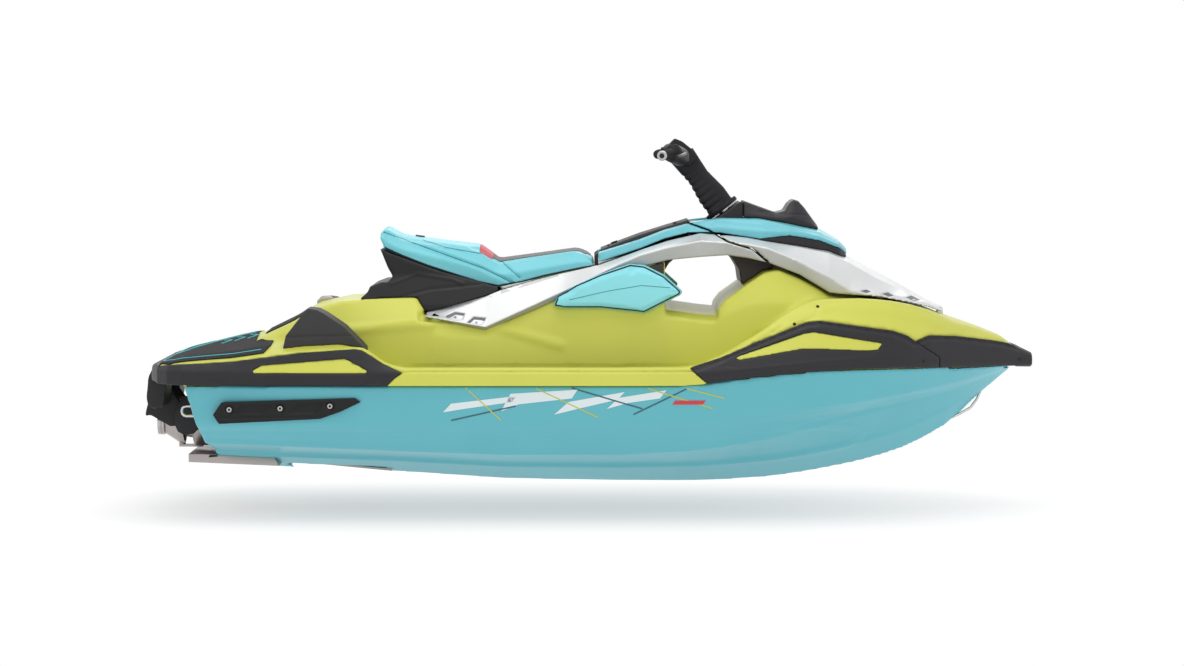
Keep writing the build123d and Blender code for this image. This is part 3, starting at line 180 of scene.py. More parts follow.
def finish(name, colour, roughness, metallic=0.0, coat=0.0, mottle=0.03, grain=None, scuff=0.0, specular=0.5,
           flake=0.0, groove_mm=None, painted_undercut_shade=0.0):
    """A surface: its colour drifts a little, its roughness is scuffed, and a grain raises it.

    Grain is its size in millimetres and its strength, flake makes the colour glint, and undercut is painted
    shade: how much darker the colour is made where the surface faces down.
    """
    material = bpy.data.materials.new(name)
    material.use_nodes = True
    tree = material.node_tree
    shader = tree.nodes["Principled BSDF"]
    shader.inputs["Metallic"].default_value = metallic
    shader.inputs["Coat Weight"].default_value = coat
    shader.inputs["Coat Roughness"].default_value = 0.08
    shader.inputs["Specular IOR Level"].default_value = specular
    place = add_node(tree, "ShaderNodeTexCoord").outputs["Object"]
    drift = add_node(tree, "ShaderNodeTexNoise", {"Vector": place, "Scale": 1000 / MOTTLE_MM, "Detail": 3.0})
    shade = add_node(
        tree, "ShaderNodeMapRange",
        {
            "Value": drift.outputs["Fac"], "From Min": 0.3, "From Max": 0.7, "To Min": 1 - mottle,
            "To Max": 1 + mottle})
    shares = []
    if flake:
        spark = add_node(
            tree, "ShaderNodeTexNoise", {"Vector": place, "Scale": 1000 / FLAKE_MM, "Detail": 1.0})
        shares.append(add_node(tree, "ShaderNodeMapRange", {
            "Value": spark.outputs["Fac"], "From Min": 0.35, "From Max": 0.65, "To Min": 1 - flake,
            "To Max": 1 + flake}))
    # painted shade: the colour is made darker where the surface faces down
    if painted_undercut_shade:
        normal = add_node(tree, "ShaderNodeNewGeometry").outputs["Normal"]
        facing = add_node(tree, "ShaderNodeSeparateXYZ", {"Vector": normal})
        shares.append(add_node(tree, "ShaderNodeMapRange", {
            "Value": facing.outputs["Z"], "From Min": -0.5, "From Max": 0.15, "To Min": 1 - painted_undercut_shade}))
    value = shade.outputs[0]
    for share in shares:
        value = add_node(
            tree, "ShaderNodeMath", {0: value, 1: share.outputs[0]}, operation="MULTIPLY").outputs[0]
    tinted = add_node(
        tree, "ShaderNodeVectorMath", {0: linear(colour)[:3], "Scale": value}, operation="SCALE")
    tree.links.new(tinted.outputs[0], shader.inputs["Base Color"])
    streaks = add_node(
        tree, "ShaderNodeTexNoise", {"Vector": place, "Scale": 9.0, "Detail": 8.0, "Roughness": 0.7})
    rough = add_node(
        tree, "ShaderNodeMapRange",
        {
            "Value": streaks.outputs["Fac"], "From Min": 0.35, "From Max": 0.75, "To Min": roughness - scuff,
            "To Max": roughness + scuff})
    tree.links.new(rough.outputs[0], shader.inputs["Roughness"])
    if grain:
        grain_mm, strength = grain
        texture = add_node(
            tree, "ShaderNodeTexNoise", {"Vector": place, "Scale": 1000 / grain_mm, "Detail": 2.0})
        raised = add_node(
            tree, "ShaderNodeBump",
            {"Height": texture.outputs["Fac"], "Strength": strength, "Distance": grain_mm * MM * 0.3})
        if groove_mm:
            # one wave of this texture is 2 pi / 20 of its scaled unit
            bands = add_node(tree, "ShaderNodeTexWave", {"Vector": place, "Scale": math.pi * 100 / groove_mm},
                             bands_direction="Y")
            cut = add_node(tree, "ShaderNodeMapRange", {"Value": bands.outputs["Fac"], "From Max": 0.25})
            raised = add_node(
                tree, "ShaderNodeBump",
                {
                    "Height": cut.outputs[0], "Strength": 0.9, "Distance": GROOVE_DEPTH,
                    "Normal": raised.outputs[0]})
        tree.links.new(raised.outputs[0], shader.inputs["Normal"])
    return material


GELCOAT = {"coat": 0.08, "grain": (40, 0.01), "scuff": 0.02, "mottle": 0.015}
PLASTIC = {"specular": 0.28, "grain": (3, 0.2), "scuff": 0.06}
FINISHES = {
    # polyester gelcoat over glass fibre: a soft gloss with a faint orange peel
    "hull_gelcoat": finish("turquoise_gelcoat", "#62B5C1", 0.36, specular=0.28, **GELCOAT),
    "deck_gelcoat": finish("lime_gelcoat", "#D0D25C", 0.36, specular=0.22, **GELCOAT),
    # injection moulded polypropylene with a fine spark-eroded grain, drawn at 3 mm so that it shows
    "black_plastic": finish("charcoal_polypropylene", "#29282B", 0.5, **PLASTIC),
    # metallic silver paint under clear lacquer, flake drawn at 1.6 mm: a bright top, and painted shade greys
    # it below
    "white_panel": finish("silver_lacquer", "#D6D7D8", 0.34, metallic=0.2, coat=0.3, flake=0.03, painted_undercut_shade=0.4),
    # unpainted inner moulding, seen only in shade
    "dark_liner": finish("dark_inner_moulding", "#2A1E16", 0.55, grain=(4, 0.2), scuff=0.08),
    # closed-cell foam under a black cover: dull and finely pebbled
    "black_pad": finish("black_foam_pad", "#2E2C2F", 0.7, grain=(4, 0.5), scuff=0.08),
    # marine vinyl: satin, with a leather-like grain drawn at 2.5 mm
    "seat_vinyl": finish("turquoise_vinyl", "#70C7D2", 0.45, grain=(2.5, 0.3), scuff=0.05),
    # skinned soft foam pad: satin and a shade lighter than the gelcoat
    "knee_pad_foam": finish("light_turquoise_foam", "#8CE0EA", 0.5, grain=(3, 0.25), scuff=0.05),
    # sand-cast aluminium, bead blasted: grey and slightly pitted
    "cast_aluminium": finish("cast_aluminium", "#ABA5A2", 0.4, metallic=1.0, grain=(4, 0.3), scuff=0.1),
    # moulded rubber: nearly black, no shine
    "rubber_black": finish("black_rubber", "#1F1F20", 0.6, specular=0.25, grain=(2.5, 0.3), scuff=0.08),
    # polished stainless steel
    "steel": finish("polished_stainless_steel", "#C9C8C4", 0.2, metallic=1.0, scuff=0.06),
    "nylon": finish("natural_nylon", "#CFCDC4", 0.5, grain=(4, 0.2)),
    "bar_aluminium": finish("black_anodised_aluminium", "#2B2B2E", 0.35, metallic=0.7, grain=(2, 0.1)),
    "engine_paint": finish("satin_engine_enamel", "#3A3B3E", 0.4, grain=(8, 0.2), scuff=0.1),
}
TRIM = {
    # closed-cell traction foam, cut with fine grooves
    "mat_foam": finish("charcoal_traction_foam", "#2F2E31", 0.85, specular=0.2, grain=(5, 0.8),
                       scuff=0.05, groove_mm=16),
    # the mat's turquoise under-layer, laid bare by the cut lines
    "mat_line": finish("turquoise_traction_foam", "#58C6CC", 0.75, grain=(3, 0.3)),
    "dark_vinyl": finish("charcoal_vinyl", "#3C383A", 0.55, grain=(2.5, 0.4)),
    "red_vinyl": finish("red_vinyl", "#BC2038", 0.5, grain=(2.5, 0.3)),
    # painted outer panels of the cowl and the tank: the gelcoat's turquoise, a shade lighter
    "cowl_paint": finish("light_turquoise_lacquer", "#6FC2CE", 0.34, coat=0.15, specular=0.35, mottle=0.015),
    # painted shade: a darker silver laid on the arch's narrow upper facet, which lies in the shade of the seat
    "arch_shade": finish("silver_lacquer_in_shade", "#B9BABC", 0.4, metallic=0.2, flake=0.03),
    # painted shade: grey sheets laid in the slots of the silver panels
    "slot_shade": finish("grey_painted_slot_shade", "#6E6F71", 0.6, grain=(3, 0.2)),
    # welted seam: a vinyl cord in the shade of the cover, its colour darkened as painted shade
    "welt": finish("seam_welt", "#2E7F8B", 0.6, grain=(1.5, 0.3)),
    # black sealing strip in the shaded joints; the same strip is laid as painted shade in gaps, slots and
    # sockets
    "seal_and_painted_shade": finish("black_sealing_strip_and_painted_shade", "#1B1A1C", 0.8, grain=(3, 0.2)),
    # cut vinyl film, satin
    "white_film": finish("white_vinyl_film", "#DCE6E8", 0.4, mottle=0.01),
    "lime_film": finish("lime_vinyl_film", "#B9BF52", 0.4, mottle=0.01),
    "dark_film": finish("slate_vinyl_film", "#33606B", 0.4, mottle=0.01),
    "red_film": finish("red_vinyl_film", "#C8353F", 0.4, mottle=0.01),
    # bright zinc-plated screw heads
    "bright_screw": finish("zinc_plated_screw", "#B9B7B6", 0.25, metallic=1.0, scuff=0.05),
    "black_screw": finish("black_oxide_screw", "#242326", 0.4, metallic=0.6),
    # moulded cover over the handlebar's riser
    "riser_cover": finish("charcoal_moulded_cover", "#242326", 0.6, specular=0.2, grain=(3, 0.25)),
    # black plastic made darker as painted shade, for the mouldings in the shade of the hull and the seat
    "sponson_plastic_painted_shade": finish("black_polyethylene_painted_shade", "#131415", 0.5, **PLASTIC),
    "tail_plastic_painted_shade": finish("black_polypropylene_painted_shade", "#19191A", 0.5, **PLASTIC),
    # moulded rubber blocks behind the footwells, paler and dull
    "chock_rubber": finish("grey_moulded_rubber", "#3C3B3D", 0.65, specular=0.25, grain=(4, 0.4),
                           scuff=0.05),
}
slots = {row["node"]: row["material_slot"] for row in frame["record"]["subparts"]}
bodies = {node: body for body, members in frame["record"]["behaviour"]["bodies"].items() for node in members}


# ---- making and shaping meshes
WELD = 0.02 * MM
EDGE_MM = 1.5
CREASE = 30  # degrees from which a hard part's edge is broken, and stays crisp


def evaluated(piece):
    return piece.evaluated_get(bpy.context.evaluated_depsgraph_get())


def bake(piece):
    """Makes a piece's modifiers part of its mesh."""
    mesh = bpy.data.meshes.new_from_object(evaluated(piece))
    piece.modifiers.clear()
    piece.data = mesh
    return piece


def smooth(piece, angle=None):
    """Smooth shading, with edges sharper than an angle left crisp."""
    piece.data.polygons.foreach_set("use_smooth", [True] * len(piece.data.polygons))
    if angle:
        piece.data.set_sharp_from_angle(angle=math.radians(angle))
    return piece


def dress(piece, body):
    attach(piece, body)
    return piece


def merged(node):
    """A copy of a CAD node with its loose triangles joined."""
    mesh = frame["nodes"][node].data.copy()
    form = bmesh.new()
    form.from_mesh(mesh)
    bmesh.ops.remove_doubles(form, verts=form.verts, dist=WELD)
    bmesh.ops.dissolve_degenerate(form, edges=form.edges, dist=WELD)
    form.to_mesh(mesh)
    form.free()
    mesh.materials.clear()
    return link(node + "_form", mesh, FINISHES[slots[node]])


def softened(node, voxel_mm, passes, hidden=None):
    """A moulding with the corners rounded as by its tool; hidden(place, normal) leaves out its inside."""
    piece = merged(node)
    remesh = piece.modifiers.new("even_mesh", "REMESH")
    remesh.mode = "VOXEL"
    remesh.voxel_size = voxel_mm * MM
    if passes:
        rounding = piece.modifiers.new("rounding", "SMOOTH")
        rounding.factor = 0.5
        rounding.iterations = passes
    bake(piece)
    if hidden:
        form = bmesh.new()
        form.from_mesh(piece.data)
        inside = [face for face in form.faces if hidden(face.calc_center_median() / MM, face.normal)]
        bmesh.ops.delete(form, geom=inside, context="FACES")
        form.to_mesh(piece.data)
        form.free()
    return smooth(piece)


def broken_edges(piece, round_mm):
    """A hard part with its edges broken by a small bevel."""
    bevel = piece.modifiers.new("broken_edge", "BEVEL")
    bevel.width = round_mm * MM
    bevel.segments = 2
    bevel.limit_method = "ANGLE"
    bevel.angle_limit = math.radians(CREASE)
    return bake(piece)


def surface(mesh):
    """A mesh's vertex places and normals, in rows."""
    places, normals = np.empty(len(mesh.vertices) * 3), np.empty(len(mesh.vertices) * 3)
    mesh.vertices.foreach_get("co", places)
    mesh.vertex_normals.foreach_get("vector", normals)
    return places.reshape(-1, 3), normals.reshape(-1, 3)


def reshape(mesh, places):
    mesh.vertices.foreach_set("co", places.ravel())
    mesh.update()


def outline_depth(flat, outline):
    """How far points lie inside a closed outline, negative outside."""
    nearest = np.full(len(flat), 1e9)
    inside = np.zeros(len(flat), bool)
    for (ax, az), (bx, bz) in zip(outline, outline[1:] + outline[:1]):
        nearest = np.minimum(nearest, segment_distance(flat, (ax, az), (bx, bz)))
        crosses = (flat[:, 1] > az) != (flat[:, 1] > bz)
        rise = bz - az if bz != az else 1e-9
        inside ^= crosses & (flat[:, 0] < ax + (flat[:, 1] - az) * (bx - ax) / rise)
    return np.where(inside, nearest, -nearest)


def segment_distance(flat, start, end):
    start, end = np.array(start, float), np.array(end, float)
    run = end - start
    share = np.clip(((flat - start) @ run) / max(run @ run, 1e-9), 0, 1)
    return np.linalg.norm(flat - start - share[:, None] * run, axis=1)


def line_depth(flat, line, width):
    """How far points lie inside a stroke along an open line, negative outside."""
    nearest = np.full(len(flat), 1e9)
    for start, end in zip(line, line[1:]):
        nearest = np.minimum(nearest, segment_distance(flat, start, end))
    return width / 2 - nearest


def relief(piece, marks, facing=0.3):
    """Presses in (depth > 0) or raises areas and strokes seen from the side, with soft edges.

    A mark is (outline, depth, edge) or (line, depth, edge, width), in millimetres. It fades out where the
    surface faces the side less than facing.
    """
    places, normals = surface(piece.data)
    places /= MM
    flat, towards = places[:, [0, 2]], normals[:, 1] * np.sign(places[:, 1])
    seen = np.clip((towards - facing) / 0.2, 0, 1)
    for mark in marks:
        shape, depth, edge = mark[:3]
        inside = line_depth(flat, shape, mark[3]) if len(mark) > 3 else outline_depth(flat, shape)
        share = np.clip(inside / edge + 0.5, 0, 1)
        share = share * share * (3 - 2 * share)
        places -= normals * (depth * share * seen)[:, None]
    reshape(piece.data, places * MM)


def tree_of(*pieces):
    """A search tree over finished pieces, for laying things on them."""
    form = bmesh.new()
    for piece in pieces:
        form.from_mesh(piece.data)
    tree = BVHTree.FromBMesh(form)
    form.free()
    return tree


RAYS = {  # where a ray starts, outside the craft, for a point (u, v) of each view, and which way it runs
    "starboard": (lambda u, v: Vector((u, -900, v)), Vector((0, 1, 0))),
    "port": (lambda u, v: Vector((u, 900, v)), Vector((0, -1, 0))),
    "top": (lambda u, v: Vector((u, v, 1100)), Vector((0, 0, -1))),
    "aft": (lambda u, v: Vector((-1800, u, v)), Vector((1, 0, 0))),
}


def hit(tree, view, u, v, lift=0.0):
    """Where a point seen from one side meets the surface, in millimetres, lifted along its normal."""
    start, towards = RAYS[view]
    place, normal, _, _ = tree.ray_cast(start(u, v) * MM, towards)
    if place is None:
        return None
    if normal.dot(towards) > 0:
        normal = -normal
    return place / MM + normal * lift


def cut_flat(outline, step):
    """A flat outline cut into cells, as a bmesh in the sketch plane."""
    form = bmesh.new()
    form.faces.new([form.verts.new((u, v, 0)) for u, v in outline])
    for axis in (0, 1):
        low, high = min(point[axis] for point in outline), max(point[axis] for point in outline)
        normal = (1, 0, 0) if axis == 0 else (0, 1, 0)
        for number in range(1, int((high - low) / step) + 1):
            place = [0, 0, 0]
            place[axis] = low + number * step
            bmesh.ops.bisect_plane(form, geom=form.verts[:] + form.edges[:] + form.faces[:], plane_co=place,
                                   plane_no=normal)
    bmesh.ops.triangulate(form, faces=form.faces[:])
    return form


SINK = 1.0  # how far a laid sheet reaches below the surface, in millimetres


def laid(name, outlines, tree, views, material, body, lift=1.0, step=14, facing=0.15):
    """Sheets that follow a surface: flat outlines dropped on it, lifted, and left off where it turns away."""
    whole = bmesh.new()
    for view in views:
        for outline in outlines:
            form = cut_flat(outline, step)
            lost = []
            for vert in form.verts:
                place = hit(tree, view, vert.co.x, vert.co.y, lift)
                if place is None:
                    lost.append(vert)
                else:
                    vert.co = place * MM
            bmesh.ops.delete(form, geom=lost, context="VERTS")
            towards = RAYS[view][1]
            form.normal_update()
            wrong = [face for face in form.faces if face.normal.dot(towards) > 0]
            bmesh.ops.reverse_faces(form, faces=wrong)
            form.normal_update()
            steep = [face for face in form.faces if face.normal.dot(towards) > -facing]
            bmesh.ops.delete(form, geom=steep, context="FACES")
            sheet = bpy.data.meshes.new("sheet")
            form.to_mesh(sheet)
            form.free()
            whole.from_mesh(sheet)
            bpy.data.meshes.remove(sheet)
    mesh = bpy.data.meshes.new(name)
    whole.to_mesh(mesh)
    whole.free()
    piece = link(name, mesh, material)
    thick = piece.modifiers.new("thickness", "SOLIDIFY")
    thick.thickness = (lift + SINK) * MM
    thick.offset = -1
    return dress(smooth(bake(piece), 40), body)


def stroke(line, width):
    """The outline of a straight-ended stroke along an open line."""
    left, right = [], []
    for index, point in enumerate(line):
        before, after = line[max(index - 1, 0)], line[min(index + 1, len(line) - 1)]
        run = Vector((after[0] - before[0], after[1] - before[1])).normalized()
        left.append((point[0] - run.y * width / 2, point[1] + run.x * width / 2))
        right.append((point[0] + run.y * width / 2, point[1] - run.x * width / 2))
    return left + right[::-1]


def across(half):
    """An outline seen from above, from its port half."""
    return half + [(x, -y) for x, y in reversed(half)]


def shrunk(outline, share):
    """An outline drawn in towards its middle."""
    middle = [sum(point[axis] for point in outline) / len(outline) for axis in (0, 1)]
    return [tuple(value + (centre - value) * share for value, centre in zip(point, middle))
            for point in outline]


def followed(line, step):
    """Points along an open line, no further apart than step."""
    points = [line[0]]
    for start, end in zip(line, line[1:]):
        count = max(1, math.ceil(math.dist(start, end) / step))
        points += [tuple(start[i] + (end[i] - start[i]) * n / count for i in range(len(start)))
                   for n in range(1, count + 1)]
    return points


def line_curve(name, runs):
    """A curve of straight runs, given in millimetres."""
    data = bpy.data.curves.new(name, "CURVE")
    data.dimensions = "3D"
    for run in runs:
        spline = data.splines.new("POLY")
        spline.points.add(len(run) - 1)
        for point, place in zip(spline.points, run):
            point.co = (*(Vector(place) * MM), 1)
    return data


def mesh_of(name, source, prepare=None):
    """The mesh that a curve, or a source with a tree on it, gives."""
    carrier = link(name + "_source", source)
    if prepare:
        prepare(carrier)
    mesh = bpy.data.meshes.new_from_object(evaluated(carrier))
    bpy.data.objects.remove(carrier)
    return mesh


def bead(name, paths, radius_mm, material, body):
    """Round cords along 3-D paths in millimetres, made one mesh."""
    data = line_curve(name, paths)
    data.bevel_depth = radius_mm * MM
    data.bevel_resolution = 3
    data.use_fill_caps = True
    mesh = mesh_of(name, data)
    mesh.materials.clear()
    return dress(smooth(link(name, mesh, material), 60), body)


def seam(name, lines, tree, views, radius_mm, material, body, lift=0.0, step=8):
    """Cords that follow a surface along lines drawn from one side."""
    paths = []
    for view in views:
        for line in lines:
            run = []
            for u, v in followed(line, step):
                place = hit(tree, view, u, v, lift)
                # a jump in depth starts another cord
                if place is None or (run and (place - run[-1]).length > 6 * step):
                    if len(run) > 1:
                        paths.append(run)
                    run = [] if place is None else [place]
                else:
                    run.append(place)
            if len(run) > 1:
                paths.append(run)
    return bead(name, paths, radius_mm, material, body)


BOTH = ("starboard", "port")


# ---- mouldings
def below_deck(place, normal):
    """The deck moulding's underside, which lies inside the hull."""
    return normal.z < -0.8 and abs(place.y) < 500 and place.z < 185


def inside_hull(place, normal):
    """The hull's top, which lies under the deck moulding."""
    return normal.z > 0.75 and place.z > 40 and abs(place.y) < 535


MOULDINGS = {  # node: voxel in millimetres, smoothing passes
    "hull": (8.7, 3), "deck": (8.7, 3), "front_bumpers": (5.0, 2), "nose_bumper": (5.0, 2),
    "rear_bumper": (5.0, 2), "front_inserts": (4.0, 2), "rear_inserts": (4.0, 2), "rub_rails": (5.0, 2),
    "arch_left": (3.2, 3), "arch_right": (3.2, 3), "hood_cover": (4.4, 2), "cowl": (4.5, 3),
    "visor": (4.0, 3), "tank_covers": (4.0, 2), "tank_pad": (4.0, 2), "glovebox_lid": (3.5, 2),
    "column_surround": (4.0, 2), "tail_fairing": (5.0, 2), "foot_chocks": (4.0, 2), "stern_pads": (4.0, 2),
    "sponsons": (3.5, 2), "handlebar_riser": (2.5, 5), "switch_pods": (2.0, 2), "reverse_bucket": (3.0, 1),
    "arch_liner": (5.0, 1), "knee_pads": (5.0, 4),
}
hidden_sides = {"deck": below_deck, "hull": inside_hull}
pieces = {}
for node, (voxel, passes) in MOULDINGS.items():
    pieces[node] = softened(node, voxel, passes, hidden_sides.get(node))
for node in ("ride_plate", "pump_housing", "steering_nozzle", "tail_cone", "bucket_brackets", "intake_grate",
             "levers", "tow_hook", "bow_eye"):
    pieces[node] = smooth(broken_edges(merged(node), EDGE_MM), CREASE)

# ---- creases, recesses and grooves pressed in
SPONSON_BOLTS = [(-1223, 58), (-1050, 62), (-881, 70)]
ARCH_BOLTS = [(-466, 357), (-392, 341)]
HOOD_SLITS = [
    [(938, 450), (962, 455), (982, 447), (960, 440)], [(1012, 440), (1040, 444), (1063, 431), (1038, 427)],
    [(1095, 427), (1128, 429), (1164, 412), (1130, 410)]]
CLIP_X = (-507, -279, -49, 172)
relief(pieces["hull"], [
    # raised spray line round the forefoot, and the long strakes
    ([(640, -20), (800, -16), (915, -30), (955, -62), (905, -100), (760, -130), (500, -160)], -3, 16, 26),
    ([(-1380, -86), (-600, -100), (300, -112), (640, -96)], 2.5, 14, 18),
    ([(-1380, -24), (-500, -26), (350, -20), (700, 10), (1000, 46)], 2, 14, 16),
    ([(-1300, 40), (-1288, -80), (-1280, -150)], 2, 10, 14),
])
relief(pieces["deck"], [
    # gunwale groove, with the slanted joints of its clips
    ([(-610, 188), (340, 188)], 4, 4, 8),
    *[([(x - 26, 196), (x - 14, 183)], 3, 3, 5) for x in CLIP_X],
    *[([(x + 8, 183), (x + 24, 196)], 3, 3, 5) for x in CLIP_X],
    # bright facet edges of the side
    ([(-1050, 300), (-640, 330), (-420, 352)], -4, 26, 30),
    ([(-350, 335), (-200, 290), (-100, 262)], -5, 26, 30),
    # slash vents
    *[([(540 + 28 * n, 258 + 14 * n), (590 + 28 * n, 306 + 14 * n)], 5, 4, 9) for n in range(3)],
    # joint of the bow's side panel
    ([(837, 420), (782, 400), (776, 372), (690, 338)], 3, 4, 6),
    # arc over the front corner
    ([(700, 380), (850, 408), (1050, 382), (1300, 316)], -4, 26, 30),
])
relief(pieces["deck"], [([(-590, 350), (-470, 336), (-470, 400), (-590, 376)], 9, 10)], facing=-0.4)
relief(pieces["rear_bumper"], [
    ([(-1295, 143), (-1274, 166), (-1229, 166), (-1247, 143)], 4, 4),
    ([(-764, 143), (-737, 176), (-674, 176), (-706, 143)], 4, 4),
])
for name in ("rear_bumper", "rear_inserts"):
    # the upper half leans in
    relief(pieces[name], [([(-1560, 206), (-640, 206), (-640, 340), (-1560, 340)], 4, 44)])
relief(pieces["front_bumpers"], [
    ([(455, 205), (500, 197), (960, 240), (1020, 262), (760, 330), (470, 226)], 2.5, 8),
    ([(400, 168), (520, 186), (760, 212), (1000, 222), (1190, 212)], 2, 6, 7),
    # leaning rim along the top
    ([(340, 199), (446, 233), (582, 289), (736, 350), (787, 356), (1043, 318), (1096, 299), (1124, 279)],
     8, 20, 26),
])
relief(pieces["nose_bumper"], [
    ([(1225, 208), (1380, 205), (1540, 196)], 2, 6, 7),
    ([(1124, 279), (1176, 297), (1279, 290), (1430, 266), (1480, 256), (1600, 222)], 8, 20, 26),
])
relief(pieces["sponsons"], [
    ([(-1207, 42), (-1181, 73), (-1073, 73), (-1113, 44)], 5, 4),
    ([(-1023, 44), (-992, 73), (-897, 82), (-933, 46)], 5, 4),
    ([(-1250, 30), (-850, 34)], 3, 4, 6),
    *[([(x - 1, z), (x + 1, z)], 4, 4, 30) for x, z in SPONSON_BOLTS],
])
for name in ("arch_left", "arch_right"):
    relief(pieces[name], [
        ([(-502, 362), (-467, 377), (-432, 371), (-440, 351), (-474, 349)], 6, 4),
        ([(-424, 341), (-401, 361), (-359, 356), (-371, 334)], 6, 4),
    ])
relief(pieces["hood_cover"], [(slit, 6, 4) for slit in HOOD_SLITS], facing=0.0)
relief(pieces["tail_fairing"], [
    ([(-690, 470), (-600, 505), (-480, 486), (-440, 470)], -3, 6, 10),
    ([(-660, 425), (-560, 452), (-380, 470)], 3, 8, 10),
])


def tucked(piece, foot, head, inner_mm):
    """Draws a piece in to a width below a line seen from the side, so that it lies behind what covers it."""
    start = Vector((foot[0], 0, foot[1])) * MM
    upwards = Vector((foot[1] - head[1], 0, head[0] - foot[0])).normalized()
    form = bmesh.new()
    form.from_mesh(piece.data)
    bmesh.ops.bisect_plane(
        form, geom=form.verts[:] + form.edges[:] + form.faces[:], plane_co=start, plane_no=upwards)
    for vert in form.verts:
        under = (vert.co - start).dot(upwards) < -0.5 * MM
        if under and foot[0] * MM < vert.co.x < head[0] * MM and abs(vert.co.y) > inner_mm * MM:
            vert.co.y = math.copysign(inner_mm * MM, vert.co.y)
    form.to_mesh(piece.data)
    form.free()


tucked(pieces["tail_fairing"], (-576, 370), (-290, 453), 222)
relief(pieces["foot_chocks"], [([(-1040, 300), (-800, 306)], 3, 6, 8)])
relief(pieces["cowl"], [([(440, 676), (600, 660), (760, 640), (860, 604)], -3, 16, 20)])
relief(pieces["visor"], [([(600, 722), (690, 712), (760, 708)], 2, 4, 6)])


# ---- the padded cover over the handlebar's riser
RAKE = math.radians(37)
UP_COLUMN = Vector((-math.sin(RAKE), 0, math.cos(RAKE)))
FORE_COLUMN = Vector((math.cos(RAKE), 0, math.sin(RAKE)))
COLUMN_FOOT = Vector((470, 0, 728))
PLEATS = (28, 52, 78, 104, 128, 150, 172)  # heights along the steering axis, in millimetres
PLEATS_END, PLEATS_FADE = 34, 60  # how far before the axis they end, and over how much they fade


def pleated(piece, heights, depth, width):
    """Presses a groove round the riser at each height along the steering axis, deepest at the back."""
    for vert in piece.data.vertices:
        place = vert.co / MM - COLUMN_FOOT
        height, fore = place.dot(UP_COLUMN), place.dot(FORE_COLUMN)
        behind = min(1.0, max(0.0, (PLEATS_END - fore) / PLEATS_FADE))
        near = min(abs(height - pleat) for pleat in heights)
        if near < width and behind > 0:
            share = 0.5 + 0.5 * math.cos(math.pi * near / width)
            out = Vector((fore * FORE_COLUMN.x, place.y, fore * FORE_COLUMN.z)).normalized()
            vert.co -= out * depth * share * behind * MM
    piece.data.update()


pleated(pieces["handlebar_riser"], PLEATS, 3.5, 9)
OWN_FINISH = {
    "sponsons": TRIM["sponson_plastic_painted_shade"], "tail_fairing": TRIM["tail_plastic_painted_shade"], "cowl": TRIM["cowl_paint"],
    "foot_chocks": TRIM["chock_rubber"], "tank_covers": TRIM["cowl_paint"],
    "handlebar_riser": TRIM["riser_cover"], "bucket_brackets": FINISHES["black_plastic"],
    "tow_hook": FINISHES["cast_aluminium"],
}

for node, piece in pieces.items():
    if node in OWN_FINISH:
        piece.data.materials[0] = OWN_FINISH[node]
    if node != "knee_pads":
        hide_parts(node)
        dress(piece, bodies[node])

# ---- everything else keeps its CAD form
for node, piece in frame["nodes"].items():
    piece.data.materials.clear()
    piece.data.materials.append(FINISHES[slots[node]])

craft_skin = tree_of(pieces["hull"])
deck_skin = tree_of(pieces["deck"])
arch_skin = tree_of(pieces["arch_left"], pieces["arch_right"])
hood_skin = tree_of(pieces["hood_cover"])
sponson_skin = tree_of(pieces["sponsons"])
bumper_skin = tree_of(pieces["front_bumpers"], pieces["nose_bumper"])


# ---- padded pieces
CLOTH_FRAMES = 20


def settled(piece, smaller_mm, cap_mm, held):
    """Blows a padded piece up as cloth from a smaller shape; held(place, normal) is where it is fixed."""
    rest, normals = surface(piece.data)
    fixed = np.array([held(place / MM, normal) for place, normal in zip(rest, normals)])
    reshape(piece.data, rest - normals * (smaller_mm * MM) * (~fixed)[:, None])
    group = piece.vertex_groups.new(name="held")
    group.add([int(index) for index in np.flatnonzero(fixed)], 1.0, "REPLACE")
    cloth = piece.modifiers.new("cover", "CLOTH")
    cloth.settings.quality = 5
    cloth.settings.mass = 0.4
    cloth.settings.use_pressure = True
    cloth.settings.uniform_pressure_force = 4.0
    cloth.settings.effector_weights.gravity = 0.0
    cloth.settings.vertex_group_mass = "held"
    cloth.settings.tension_stiffness = cloth.settings.compression_stiffness = 40
    cloth.settings.bending_stiffness = 3.0
    cloth.collision_settings.use_collision = False
    for number in range(1, CLOTH_FRAMES + 1):
        scene.frame_set(number)
    blown, _ = surface(evaluated(piece).data)
    piece.modifiers.clear()
    piece.vertex_groups.clear()
    scene.frame_set(1)
    moved = blown - rest
    far = np.linalg.norm(moved, axis=1)
    moved *= np.minimum(1.0, cap_mm * MM / np.maximum(far, 1e-9))[:, None]
    reshape(piece.data, rest + moved)


def finer(piece):
    """The piece with each face cut in four, for smooth curves."""
    detail = piece.modifiers.new("finer", "SUBSURF")
    detail.levels = detail.render_levels = 1
    return smooth(bake(piece))


